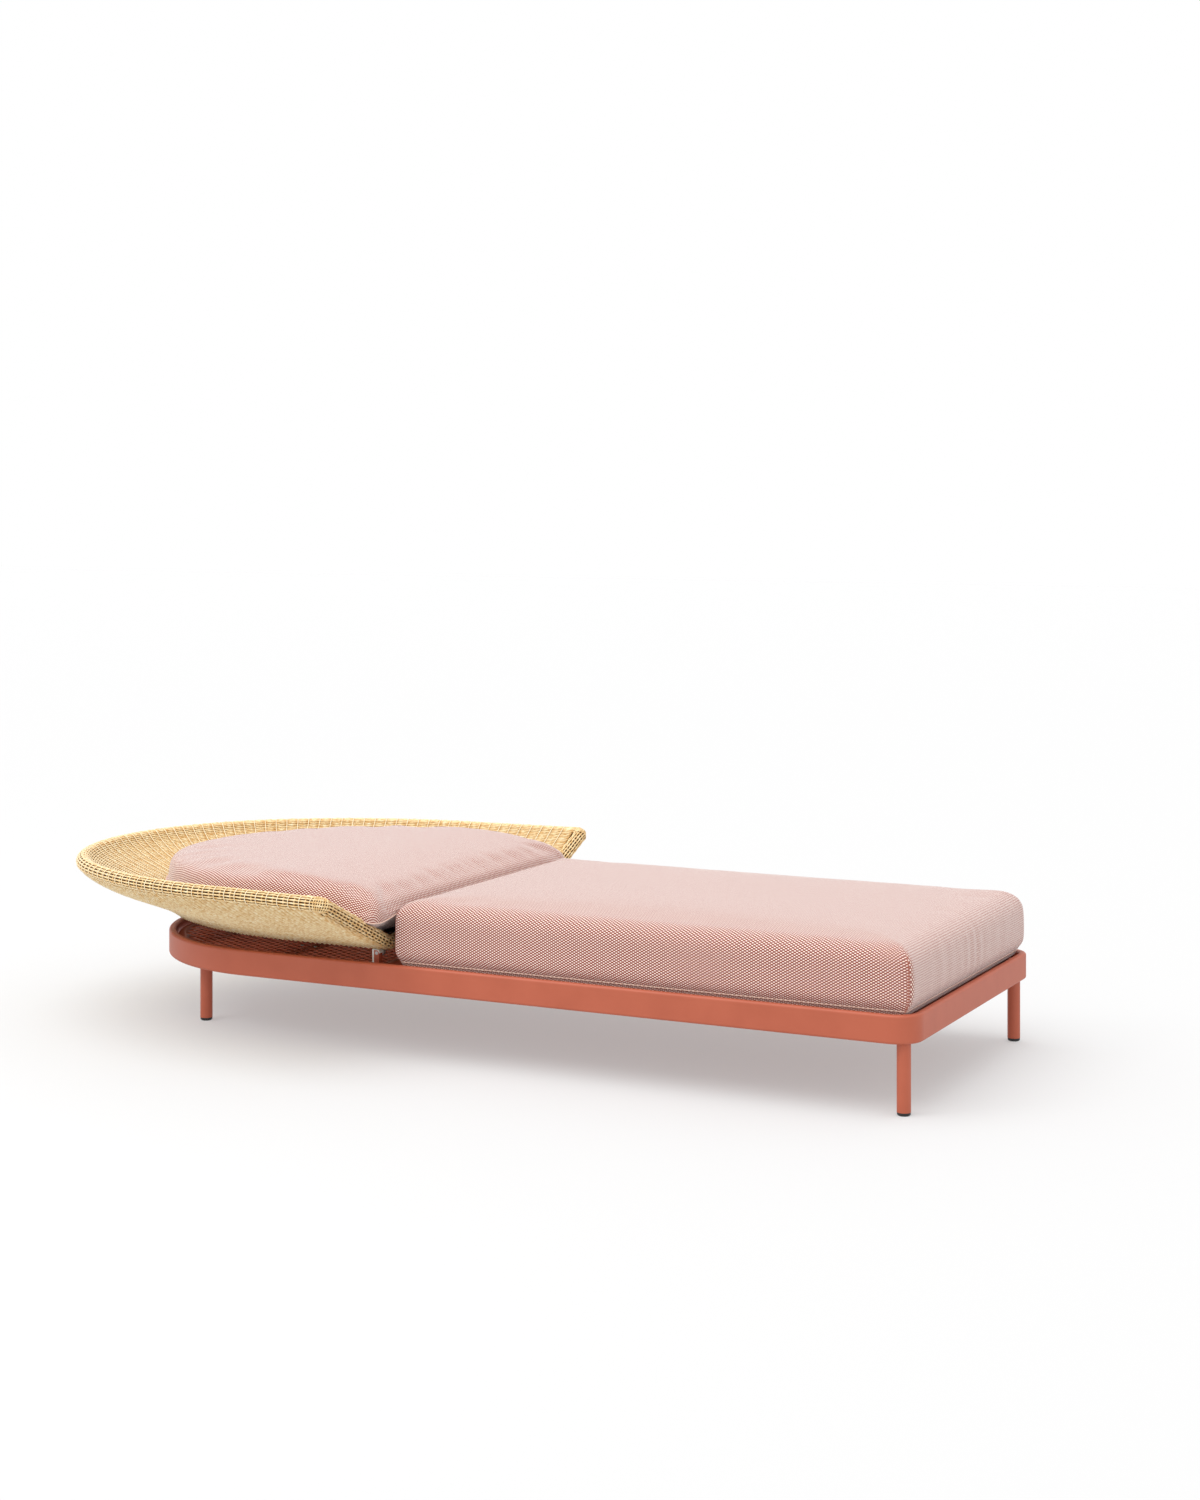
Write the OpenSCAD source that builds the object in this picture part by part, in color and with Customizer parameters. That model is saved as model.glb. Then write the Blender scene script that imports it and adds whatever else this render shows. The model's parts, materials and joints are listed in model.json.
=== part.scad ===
// Sun lounger: a flat oval base on four legs, a hinged wicker back shell and two loose cushions.
// +X points to the foot end, +Z is up, the origin is on the floor under the middle.

/* [Base ring] */
// Length of the base ring, from the foot end to the tip of the head hoop
base_len = 2100; // [1900:10:2300]
// Width of the base ring
base_w = 850; // [800:10:900]
// Height of the ring's band
ring_h = 61; // [50:1:75]
// Thickness of the ring's band
ring_t = 18; // [14:1:22]
// Wall of the hollow band
ring_wall = 2.5; // [1.5:0.5:4]
// Rounding of the band's edges
ring_round = 6; // [4:1:7]
// Outer radius of the two foot corners
corner_r = 60; // [45:1:80]
// Height of the ring's underside above the floor
ring_clear = 152; // [120:1:220]

/* [Legs] */
// Diameter of a leg tube
leg_d = 30; // [24:1:36]
// Wall of a leg tube
leg_wall = 2; // [1.5:0.5:4]
// Distance of a foot leg's axis from the two outer faces at its corner
foot_leg_inset = 35; // [32:1:40]
// Distance of the head legs behind the centre of the hoop
head_leg_back = 210; // [150:5:260]
// Distance of a head leg's axis inside the ring's outer side
head_leg_in = 147; // [125:1:220]
// Height of the glide under a leg tube
glide_h = 7; // [5:1:15]
// Depth of the plugs that go into a leg tube
plug_len = 25; // [15:1:40]
// Size of the cast block in a foot corner
corner_block = 84; // [76:1:110]
// Size of the plate over a head leg
head_plate = 60; // [44:1:80]
// Thickness of the plate over a head leg
head_plate_t = 4; // [3:0.5:6]

/* [Deck] */
// Drop of the deck's top below the top of the ring
deck_drop = 18; // [12:1:24]
// Thickness of the deck sheet
deck_t = 3; // [2:0.5:4]
// Gap between the deck and the ring
deck_gap = 5; // [2:1:10]
// Plain border around the holes of the deck
deck_border = 26; // [15:1:60]
// Distance between two neighbouring holes of the deck, in a triangular pattern
hole_pitch = 68; // [64:1:140]
// Diameter of a hole in the deck
hole_d = 46; // [20:1:52]
// Width of a cross bar under the deck
bar_w = 40; // [25:1:60]
// Height of a cross bar
bar_h = 30; // [20:1:32]
// Wall of a cross bar
bar_wall = 2; // [1.5:0.5:4]
// Number of cross bars under the seat
seat_bars = 3; // [2:1:5]

/* [Back shell] */
// Distance of the shell's front roll from the foot end
shell_front = 1314; // [1250:1:1400]
// Distance of the rim's widest place behind the front roll
rim_wide_back = 281; // [200:1:320]
// Reach of the rim from its widest place to the head tip
rim_len = 737; // [600:1:850]
// Half the width of the rim
rim_half = 615; // [560:1:680]
// Radius of the rim at the head tip
rim_tip_r = 556; // [480:1:600]
// How much wider the rim gets towards its front corners
rim_flare = 24; // [0:1:40]
// Height of the rim's centre line
rim_z = 380; // [340:1:460]
// Distance of the belly's widest place behind the front roll
belly_wide_back = 247; // [180:1:320]
// Reach of the flat belly from its widest place to its head tip
belly_len = 541; // [450:1:600]
// Half the width of the flat belly
belly_half = 365; // [320:1:400]
// Radius of the belly at its head tip
belly_tip_r = 290; // [240:1:310]
// Height of the belly's underside
belly_z = 235; // [230:1:245]
// Radius of the wicker roll around the shell's edge
roll_r = 17.5; // [15:0.5:22]
// Diameter of the tube inside the roll
edge_tube_d = 22; // [16:1:26]
// Wall of the tube inside the roll
edge_tube_wall = 2; // [1.5:0.5:3]
// Thickness of one woven skin
skin_t = 5; // [3:0.5:8]
// Depth of the ribs between the two skins
rib_h = 15.7; // [12:0.1:20]
// Thickness of a rib
rib_t = 5; // [3:0.5:8]
// Number of ribs around the head on each side
head_ribs = 4; // [2:1:6]
// Fullness of the flare between belly and rim
flare_full = 0.72; // [0:0.02:1]
// How much thicker the wall gets towards the rim
wall_swell = 22; // [0:1:26]
// Share of the way from belly to rim at which the wall starts to get thicker
swell_from = 0.3; // [0.1:0.05:0.5]

/* [Hinge and stay] */
// Distance of the hinge axis behind the front roll
hinge_back = 21; // [14:1:28]
// Height of the hinge axis
hinge_z = 226; // [222:0.5:228]
// Diameter of the hinge and stay pins
pin_d = 8; // [6:0.5:9]
// Running clearance of a pin, on the radius
pin_fit = 0.05; // [0.02:0.01:0.1]
// Distance of a post's middle from the centre line
post_side = 364.5; // [350:0.5:368]
// Width of a post across the lounger
post_w = 15; // [12:1:17]
// Depth of a post along the lounger
post_d = 14; // [12:0.5:15]
// Thickness of the white strip over a post's top
strip_t = 1.5; // [1:0.25:2]
// Thickness of the white strip on a post's head side
strip_side_t = 4.5; // [1.5:0.5:6]
// Length of the foot plate under a post
post_foot = 44; // [34:1:60]
// Thickness of the foot plate under a post
post_foot_t = 4; // [3:0.5:5]
// Gap between a post and its lug, for the flange of the bush
hinge_gap = 4; // [3:0.5:6]
// Thickness of a hinge lug
lug_t = 8; // [6:0.5:10]
// Radius of the lug around the pin
lug_r = 9; // [8:0.25:9]
// Distance between the foot rod at rest and the inside of the head hoop
stay_tail = 147; // [110:1:240]
// Diameter of the bar that the stay is bent from
stay_d = 16; // [12:1:17]
// Distance between the two arms of the stay
stay_width = 360; // [280:4:400]
// Bend radius at the stay's corners
stay_bend = 32; // [26:1:50]
// Highest recline of the back, in degrees
recline_max = 45; // [30:1:50]
// Number of raised positions
recline_steps = 3; // [2:1:4]
// Distance of a rack from the centre line
rack_side = 110; // [80:2:130]
// Thickness of a rack plate
rack_t = 6; // [4:0.5:8]
// Width of the rack's foot on the deck
rack_foot = 14; // [8:1:24]
// Thickness of the rack's foot
rack_foot_t = 2.5; // [2:0.5:4]
// Clearance of the foot rod over the tooth tips
rack_clear = 0.6; // [0.4:0.1:2]
// Distance of the rest buffers from the tip of the head hoop
buffer_back = 60; // [55:1:75]
// Distance of a rest buffer from the centre line
buffer_side = 60; // [40:1:90]
// Diameter of a rest buffer
buffer_d = 36; // [24:1:40]
// Height of a rest buffer's flange
buffer_flange = 6; // [4:1:12]

/* [Cushions] */
// Distance of the joint between the two cushions before the front roll
joint_ahead = 48; // [46:1:60]
// How far the seat cushion bulges out over the ring
seat_over = 6; // [0:1:10]
// Height of the seat cushion's middle
seat_top = 366; // [320:1:400]
// Height at which the seat cushion's side turns into its top
seat_edge = 340; // [310:1:380]
// Corner radius of the seat cushion
seat_corner = 42; // [30:1:60]
// Half width of the head cushion, as a share of the way from the belly's edge to the rim
pillow_share = 0.452; // [0.3:0.002:0.5]
// Distance between the head cushion's tip and the rim's centre line
pillow_tip_gap = 222; // [200:1:280]
// Corner radius at the head cushion's front
pillow_corner = 30; // [20:1:45]
// Height of the head cushion's lower seam
pillow_seam = 334; // [325:1:345]
// Height of the head cushion's crown
pillow_top = 404; // [380:1:430]
// Height of the head cushion's top along its front edge
pillow_front_top = 368; // [350:1:390]

/* [Hidden] */
$fn = 48;
// Clearance between pieces that only lie against each other
rest = 0.3;
// Small overlap of a cutter past the face that it cuts
eps = 1;

// Places along the lounger
total_len = shell_front + rim_wide_back + rim_len + roll_r;
foot_x = total_len / 2;
function from_foot(d) = foot_x - d;
hoop_x = from_foot(base_len - base_w / 2);
front_x = from_foot(shell_front);
hinge_x = front_x - hinge_back;
rim_x = front_x - rim_wide_back;
belly_x = front_x - belly_wide_back;
head_leg_x = hoop_x - head_leg_back;
head_leg_side = base_w / 2 - head_leg_in;

// Plugs that fill the bore of a leg tube
plug_d = leg_d - 2 * leg_wall - 2 * pin_fit;

// Heights
ring_top = ring_clear + ring_h;
deck_z = ring_top - deck_drop;
bar_z = deck_z - deck_t - bar_h;
inner_half = base_w / 2 - ring_t;

// Cross bars
hinge_bar_x = hinge_x + 10;
hinge_bar_w = 50;
deck_split_x = front_x + 4;
first_bar_x = from_foot(corner_r + bar_w * 2);
bar_step = (first_bar_x - hinge_bar_x) / seat_bars;
mid_bar_x = (hinge_bar_x + head_leg_x) / 2;

// Shell wall: two skins with the ribs between them, in so many steps from belly to rim
skin_rings = 8;
skin_front_x = front_x - roll_r - rest;
rib_low = skin_t + rest;
inner_low = rib_low + rib_h + rest;
wall_h = inner_low + skin_t;
roll_bore_r = edge_tube_d / 2 + rest / 2;
frame_z = belly_z + rib_low;
frame_w = 30;
spine_w = 12;
rim_slope = 38;
rim_rise = rim_z - belly_z - skin_t - (roll_r + rest) / cos(rim_slope);
front_low_z = belly_z + roll_r - 2.5;
front_kink_y = belly_half - 8;

// Hinge and stay
lug_y = post_side - post_w / 2 - lug_t / 2 - hinge_gap;
rod_x = from_foot(base_len - ring_t) + stay_tail;
stay_len = (hinge_x - rod_x) / 2;
pivot_x = hinge_x - stay_len;
stay_side = stay_width / 2;
tip_z = hinge_z - stay_d / 2 - rack_clear;
bush_r = pin_d / 2 + 1.5;
bush_flange_t = 1.5;
bush_flange_r = bush_r + 2;
pin_proud = 3;
ear_t = 4;
ear_gap = 1;
web_t = 4;
bracket_w = 24;
web_z = frame_z - web_t;
bracket_half_w = stay_d / 2 + ear_gap + ear_t;

paint = "#b96a52";
straw = "#e6cf9a";
cloth = "#e9c8bb";
black = "#202022";
white = "#eeeeea";
bare = "#b8b8b4";

// Outline of a half oval: its side arc runs on into its tip arc with one tangent
function side_r(a, b, r) = (a * a + b * b - 2 * a * r) / (2 * (b - r));
function turn_over(a, b, r) = atan2(a - r, side_r(a, b, r) - b);
function oval(cx, a, b, r, t) =
    t < turn_over(a, b, r)
    ? [cx - side_r(a, b, r) * sin(t), b - side_r(a, b, r) * (1 - cos(t))]
    : [cx - (a - r) - r * sin(t), r * cos(t)];
function mix(a, b, k) = a + (b - a) * k;
function flip(p) = [p[0], -p[1]];

// Stations of the shell from the front plane to the head tip: first along the straight sides, then by angle
straight_steps = 3;
arc_steps = 14;
stations = straight_steps + arc_steps;
function turn_at(i) = i <= straight_steps ? 0 : (i - straight_steps) * 90 / arc_steps;
function rim_point(i) =
    i < straight_steps
    ? let (x = mix(skin_front_x, rim_x, i / straight_steps))
      [x, rim_half + rim_flare * (x - rim_x) / (front_x - rim_x)]
    : oval(rim_x, rim_len, rim_half, rim_tip_r, turn_at(i));
function belly_point(i, inset = 0) =
    i < straight_steps
    ? [mix(skin_front_x, belly_x, i / straight_steps), belly_half - inset]
    : oval(belly_x, belly_len - inset, belly_half - inset, belly_tip_r - inset, turn_at(i));

// Rise of the shell's underside at the share u of the way from belly to rim, fuller round the head
function fullness(turn) = flare_full * min(1, turn / 45);
function rise(u, turn) = u + fullness(turn) * u * (1 - u) * (1 - 1.7 * u);
function shell_z(u, turn) = belly_z + rim_rise * rise(u, turn);
function flare_width(i) = norm(rim_point(i) - belly_point(i));

// Swell of the wall's inner side towards the rim, and how far out the skins reach at a station
function swell(u) = wall_swell * pow(max(0, u - swell_from) / (1 - swell_from), 2);
function inner_u(i) = 1 - (roll_r * 1.26) / flare_width(i);
function outer_u(i) = 1 + (roll_r / 2) / flare_width(i);

// Round bar between two points
module rod(p, q, r) {
    d = q - p;
    translate(p)
        rotate([0, acos(d[2] / norm(d)), atan2(d[1], d[0])])
            cylinder(r = r, h = norm(d));
}

// Rectangle with rounded corners, its middle at the origin
module soft_rect(w, h, r) {
    square([w - 2 * r, h], center = true);
    square([w, h - 2 * r], center = true);
    for (x = [-1, 1], y = [-1, 1])
        translate([x * (w / 2 - r), y * (h / 2 - r)])
            circle(r);
}

// Section of the hollow band: across its thickness and up
module band_section() {
    difference() {
        soft_rect(ring_t, ring_h, ring_round);
        soft_rect(ring_t - 2 * ring_wall, ring_h - 2 * ring_wall, ring_round - ring_wall);
    }
}

module band_turn(r, angle) {
    translate([0, 0, ring_clear + ring_h / 2])
        rotate_extrude(angle = angle, $fn = 96)
            translate([r - ring_t / 2, 0])
                band_section();
}

module band_run(len) {
    rotate([90, 0, 90])
        linear_extrude(len)
            band_section();
}

module head_hoop() {
    color(paint)
        translate([hoop_x, 0, 0])
            rotate([0, 0, 90])
                band_turn(base_w / 2, 180);
}

module rail(side) {
    color(paint)
        translate([hoop_x, side * (base_w / 2 - ring_t / 2), ring_clear + ring_h / 2])
            band_run(foot_x - corner_r - hoop_x);
}

module foot_corners() {
    color(paint)
        for (side = [-1, 1])
            translate([foot_x - corner_r, side * (base_w / 2 - corner_r), 0])
                rotate([0, 0, side < 0 ? -90 : 0])
                    band_turn(corner_r, 90);
}

module foot_bar() {
    color(paint)
        translate([foot_x - ring_t / 2, -(base_w / 2 - corner_r), ring_clear + ring_h / 2])
            rotate([0, 0, 90])
                band_run(base_w - 2 * corner_r);
}

// Hollow bar across the ring, its middle at x
module cross_bar(x, w, half) {
    translate([x, half, bar_z + bar_h / 2])
        rotate([90, 0, 0])
            linear_extrude(2 * half)
                difference() {
                    soft_rect(w, bar_h, 3);
                    soft_rect(w - 2 * bar_wall, bar_h - 2 * bar_wall, 1);
                }
}

module seat_bars() {
    color(paint)
        for (i = [0:seat_bars - 1])
            cross_bar(first_bar_x - i * bar_step, bar_w, inner_half);
}

module hinge_bar() {
    color(paint)
        cross_bar(hinge_bar_x, hinge_bar_w, inner_half);
}

module hoop_bars() {
    color(paint)
        for (x = [mid_bar_x, head_leg_x])
            intersection() {
                cross_bar(x, bar_w, inner_half);
                union() {
                    translate([hoop_x, 0, 0])
                        cylinder(r = inner_half - rest, h = ring_top, $fn = 96);
                    translate([hoop_x, -inner_half, 0])
                        cube([foot_x, 2 * inner_half, ring_top]);
                }
            }
}

// Holes of the deck in staggered rows across it between x0 and x1, all clear of the border
module deck_holes(x0, x1) {
    far = inner_half - deck_gap - deck_border - hole_d / 2;
    row_step = hole_pitch * cos(30);
    per_row = ceil(far / hole_pitch);
    first = x0 + deck_border + hole_d / 2;
    for (i = [0:ceil((x1 - x0) / row_step)], j = [-per_row:per_row]) {
        x = first + i * row_step;
        y = (j + (i % 2) / 2) * hole_pitch;
        in_hoop = x > hoop_x || norm([x - hoop_x, y]) < far;
        if (x + hole_d / 2 < x1 - deck_border && abs(y) < far && in_hoop)
            translate([x, y])
                rotate(22.5)
                    circle(d = hole_d, $fn = 8);
    }
}

module deck_seat() {
    x1 = foot_x - ring_t - deck_gap;
    half = inner_half - deck_gap;
    r = corner_r - ring_t - deck_gap;
    color(paint)
        translate([0, 0, deck_z - deck_t])
            linear_extrude(deck_t)
                difference() {
                    union() {
                        translate([deck_split_x + rest, -half])
                            square([x1 - r - deck_split_x - rest, 2 * half]);
                        translate([x1 - 2 * r, -half + r])
                            square([2 * r, 2 * half - 2 * r]);
                        for (side = [-1, 1])
                            translate([x1 - r, side * (half - r)])
                                circle(r);
                    }
                    deck_holes(deck_split_x, x1);
                }
}

module deck_head() {
    half = inner_half - deck_gap;
    color(paint)
        translate([0, 0, deck_z - deck_t])
            linear_extrude(deck_t)
                difference() {
                    union() {
                        translate([hoop_x, 0])
                            circle(half, $fn = 96);
                        translate([hoop_x, -half])
                            square([deck_split_x - hoop_x, 2 * half]);
                    }
                    translate([deck_split_x, -half])
                        square([2 * half, 2 * half]);
                    deck_holes(hoop_x - half, deck_split_x);
                }
}

// Cast block in a foot corner, with the spigot that the leg is pushed onto
module foot_leg_block(side) {
    cx = foot_x - corner_r;
    cy = base_w / 2 - corner_r;
    inner_r = corner_r - ring_t;
    mirror([0, side < 0 ? 1 : 0, 0]) {
        translate([0, 0, ring_clear])
            linear_extrude(bar_z + bar_h - ring_clear)
                union() {
                    translate([foot_x - ring_t - corner_block, cy])
                        square([corner_block - inner_r, inner_r]);
                    translate([cx, base_w / 2 - ring_t - corner_block])
                        square([inner_r, corner_block - inner_r]);
                    polygon([
                        [foot_x - ring_t - corner_block, cy],
                        [cx, base_w / 2 - ring_t - corner_block],
                        [cx, cy]]);
                    intersection() {
                        translate([cx, cy])
                            circle(inner_r - rest / 2, $fn = 96);
                        translate([cx, cy])
                            square(inner_r);
                    }
                }
        translate([foot_x - foot_leg_inset, base_w / 2 - foot_leg_inset, ring_clear - plug_len])
            cylinder(d = plug_d, h = plug_len);
    }
}

module foot_leg_blocks() {
    color(paint)
        for (side = [-1, 1])
            foot_leg_block(side);
}

module head_leg_plates() {
    color(paint)
        for (side = [-1, 1])
            translate([head_leg_x, side * head_leg_side, bar_z - head_plate_t]) {
                linear_extrude(head_plate_t)
                    soft_rect(head_plate, head_plate, 8);
                translate([0, 0, -plug_len])
                    cylinder(d = plug_d, h = plug_len + eps);
            }
}

module leg(x, y, top) {
    color(paint)
        translate([x, y, glide_h])
            difference() {
                cylinder(d = leg_d, h = top - glide_h);
                translate([0, 0, -eps])
                    cylinder(d = leg_d - 2 * leg_wall, h = top);
            }
}

module foot_leg(side) {
    leg(foot_x - foot_leg_inset, side * (base_w / 2 - foot_leg_inset), ring_clear);
}

module head_leg(side) {
    leg(head_leg_x, side * head_leg_side, bar_z - head_plate_t);
}

module glide() {
    rotate_extrude()
        polygon([
            [0, 0], [leg_d / 2 - 3, 0], [leg_d / 2 - 0.5, 2.5], [leg_d / 2 - 0.5, glide_h],
            [plug_d / 2, glide_h], [plug_d / 2, glide_h + plug_len - 3],
            [plug_d / 2 - 3, glide_h + plug_len],
            [0, glide_h + plug_len]]);
}

module glides() {
    color(black)
        for (side = [-1, 1]) {
            translate([foot_x - foot_leg_inset, side * (base_w / 2 - foot_leg_inset), 0])
                glide();
            translate([head_leg_x, side * head_leg_side, 0])
                glide();
        }
}

// Post with a square shoulder to the head, a round one to the foot, and a foot plate on the deck
module post_outline(side_grow, top_grow) {
    circle(post_d / 2 + top_grow);
    translate([-post_d / 2 - side_grow, deck_z - hinge_z])
        square([post_d + side_grow, hinge_z - deck_z]);
    translate([-post_d / 2 - side_grow, -eps])
        square([post_d / 2 + side_grow, post_d / 2 + top_grow + eps]);
}

module hinge_posts() {
    color(paint)
        for (side = [-1, 1])
            translate([hinge_x, side * post_side + post_w / 2, hinge_z])
                rotate([90, 0, 0])
                    difference() {
                        linear_extrude(post_w)
                            union() {
                                post_outline(0, 0);
                                translate([-post_foot / 2, deck_z - hinge_z])
                                    square([post_foot, post_foot_t]);
                            }
                        translate([0, 0, -eps])
                            cylinder(d = pin_d, h = post_w + 2 * eps);
                    }
}

// White strip down the head side of a post and over its top
module post_strips() {
    color(white)
        for (side = [-1, 1])
            translate([hinge_x, side * post_side + post_w / 2, hinge_z])
                rotate([90, 0, 0])
                    linear_extrude(post_w)
                        difference() {
                            post_outline(strip_side_t, strip_t);
                            post_outline(0, 0);
                            translate([0, -post_d * 4])
                                square([post_d * 2, post_d * 4]);
                            translate([-post_foot, deck_z - hinge_z - eps])
                                square([post_foot, post_foot_t + eps]);
                        }
}

module hinge_pins() {
    len = post_w + hinge_gap + lug_t + pin_proud;
    color(bare)
        for (side = [-1, 1])
            translate([hinge_x, side * (post_side + post_w / 2 - len / 2), hinge_z])
                rotate([90, 0, 0])
                    cylinder(d = pin_d, h = len, center = true);
}

// Distance from the hinge at which the foot rod drops in for a recline angle
function notch_at(a) = 2 * stay_len * cos(a);
module rack(side) {
    first = notch_at(recline_max) - 20;
    last = notch_at(0) + 16;
    color(bare)
        mirror([0, side < 0 ? 1 : 0, 0])
            translate([hinge_x, rack_side, 0]) {
                translate([0, rack_t / 2, 0])
                    rotate([90, 0, 0])
                        linear_extrude(rack_t)
                            difference() {
                                polygon([[-last, deck_z], [-first, deck_z], [-first, tip_z], [-last, tip_z]]);
                                for (k = [1:recline_steps])
                                    notch(-notch_at(k * recline_max / recline_steps));
                            }
                translate([-last, rack_t / 2, deck_z])
                    cube([last - first, rack_foot, rack_foot_t]);
            }
}

// Notch with a round seat and a ramp on the side that the rod comes from
module notch(x) {
    seat_r = stay_d / 2 + 0.5;
    translate([x, tip_z - stay_d / 4])
        circle(seat_r);
    polygon([[x, tip_z + eps], [x, tip_z - stay_d / 2], [x - stay_d * 1.6, tip_z + eps]]);
}

module rest_buffers() {
    color(black)
        for (side = [-1, 1])
            translate([from_foot(base_len - buffer_back), side * buffer_side, deck_z]) {
                cylinder(d = buffer_d, h = buffer_flange);
                cylinder(d1 = buffer_d * 0.8, d2 = buffer_d * 0.6, h = belly_z - deck_z - rest);
            }
}

// Shell edge: a path along the rim and one along the front, which meet in mitres at the two corners
function rim_corner(side) = [front_x, side * (rim_half + rim_flare), rim_z];
function kink(side) = [front_x, side * front_kink_y, front_low_z];
function at_rim(p) = [p[0], p[1], rim_z];
rim_path = concat(
    [rim_corner(-1)],
    [for (i = [straight_steps:stations]) at_rim(flip(rim_point(i)))],
    [for (i = [stations - 1:-1:straight_steps]) at_rim(rim_point(i))],
    [rim_corner(1)]);
front_path = [rim_corner(1), kink(1), kink(-1), rim_corner(-1)];

// Normals of the planes in which a swept ring stands: the halving planes inside, given ones at the ends
function heading(path, k) = (path[k + 1] - path[k]) / norm(path[k + 1] - path[k]);
function planes(path, first, last) = concat(
    [first],
    [for (k = [1:len(path) - 2]) heading(path, k - 1) + heading(path, k)],
    [last]);
function corner_plane(side) =
    side < 0
    ? heading(front_path, 2) + heading(rim_path, 0)
    : heading(rim_path, len(rim_path) - 2) + heading(front_path, 0);

// Ring square to the first heading, carried along the path from plane to plane
function ring_about(p, d, r, n) =
    let (w = cross(d, [0, 0, 1]) / norm(cross(d, [0, 0, 1])), v = cross(w, d))
    [for (k = [0:n - 1]) p + r * (cos(360 * k / n) * v + sin(360 * k / n) * w)];
function carried(ring, d, q, m) = [for (p = ring) p + d * (((q - p) * m) / (d * m))];
function swept(path, ring, normals, k = 0) =
    k == len(path) - 1
    ? [ring]
    : concat([ring], swept(path, carried(ring, heading(path, k), path[k + 1], normals[k + 1]), normals, k + 1));
function tube_rings(path, normals, r, n) =
    let (first = ring_about(path[0], heading(path, 0), r, n))
    swept(path, carried(first, heading(path, 0), path[0], normals[0]), normals);

// Hollow tube with an outer and an inner radius along a path, closed by its end planes
module swept_tube(path, normals, r, bore_r, n = 12) {
    m = len(path);
    outer = tube_rings(path, normals, r, n);
    inner = tube_rings(path, normals, bore_r, n);
    points = concat([for (ring = outer, p = ring) p], [for (ring = inner, p = ring) p]);
    function o(j, k) = j * n + k % n;
    function i(j, k) = m * n + j * n + k % n;
    polyhedron(
        points = points,
        faces = concat(
            [for (j = [0:m - 2], k = [0:n - 1]) [o(j, k), o(j + 1, k), o(j + 1, k + 1)]],
            [for (j = [0:m - 2], k = [0:n - 1]) [o(j, k), o(j + 1, k + 1), o(j, k + 1)]],
            [for (j = [0:m - 2], k = [0:n - 1]) [i(j, k), i(j + 1, k + 1), i(j + 1, k)]],
            [for (j = [0:m - 2], k = [0:n - 1]) [i(j, k), i(j, k + 1), i(j + 1, k + 1)]],
            [for (k = [0:n - 1]) [o(0, k), o(0, k + 1), i(0, k + 1), i(0, k)]],
            [for (k = [0:n - 1]) [o(m - 1, k + 1), o(m - 1, k), i(m - 1, k), i(m - 1, k + 1)]]));
}

rim_planes = planes(rim_path, corner_plane(-1), corner_plane(1));
front_planes = planes(front_path, corner_plane(1), corner_plane(-1));
tube_r = edge_tube_d / 2;

module rim_tube() {
    color(bare)
        swept_tube(rim_path, rim_planes, tube_r, tube_r - edge_tube_wall);
}

module front_tube() {
    color(bare)
        swept_tube(front_path, front_planes, tube_r, tube_r - edge_tube_wall);
}

module rim_roll() {
    color(straw)
        swept_tube(rim_path, rim_planes, roll_r, roll_bore_r);
}

module front_roll() {
    color(straw)
        swept_tube(front_path, front_planes, roll_r, roll_bore_r);
}

// Flat frame above the belly: a D-shaped ring with two spines
function d_points(inset) = concat(
    [for (i = [0:stations]) belly_point(i, inset)],
    [for (i = [stations - 1:-1:0]) flip(belly_point(i, inset))]);
module belly_frame() {
    color(bare)
        translate([0, 0, frame_z])
            linear_extrude(rib_h)
                union() {
                    difference() {
                        polygon(d_points(2));
                        difference() {
                            polygon(d_points(2 + frame_w));
                            translate([skin_front_x - frame_w, -belly_half])
                                square([2 * frame_w, 2 * belly_half]);
                        }
                    }
                    for (side = [-1, 1])
                        intersection() {
                            polygon(d_points(2));
                            translate([belly_x - belly_len, side * stay_side - spine_w / 2])
                                square([belly_len * 2, spine_w]);
                        }
                }
}

// Rib from the belly frame to the rim, cut from plate to the shell's own curve
module rib(i, side) {
    p = belly_point(i);
    q = rim_point(i);
    turn = turn_at(i);
    w = flare_width(i);
    u_end = 1 - (roll_r + rest) / w;
    last_u = outer_u(i) * (skin_rings - 1) / skin_rings;
    low_us = [for (k = [0:skin_rings - 1]) outer_u(i) * k / skin_rings];
    end_share = (u_end - last_u) / (outer_u(i) - last_u);
    end_z = mix(shell_z(last_u, turn), shell_z(outer_u(i), turn), end_share);
    top_us = [for (k = [skin_rings:-1:0]) inner_u(i) * k / skin_rings];
    mirror([0, side < 0 ? 1 : 0, 0])
        translate([p[0], p[1], 0])
            rotate([90, 0, atan2(q[1] - p[1], q[0] - p[0])])
                translate([0, 0, -rib_t / 2])
                    linear_extrude(rib_t)
                        polygon(concat(
                            [for (u = low_us) [u * w, shell_z(u, turn) + rib_low]],
                            [[u_end * w, end_z + rib_low]],
                            [for (u = top_us) [u * w, shell_z(u, turn) + swell(u) + rib_low + rib_h]]));
}

rib_stations = concat([1], [for (k = [0:head_ribs - 1]) straight_steps + round(k * arc_steps / head_ribs)]);
module back_ribs() {
    color(bare) {
        for (side = [-1, 1], i = rib_stations)
            rib(i, side);
        rib(stations, 1);
    }
}

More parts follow.
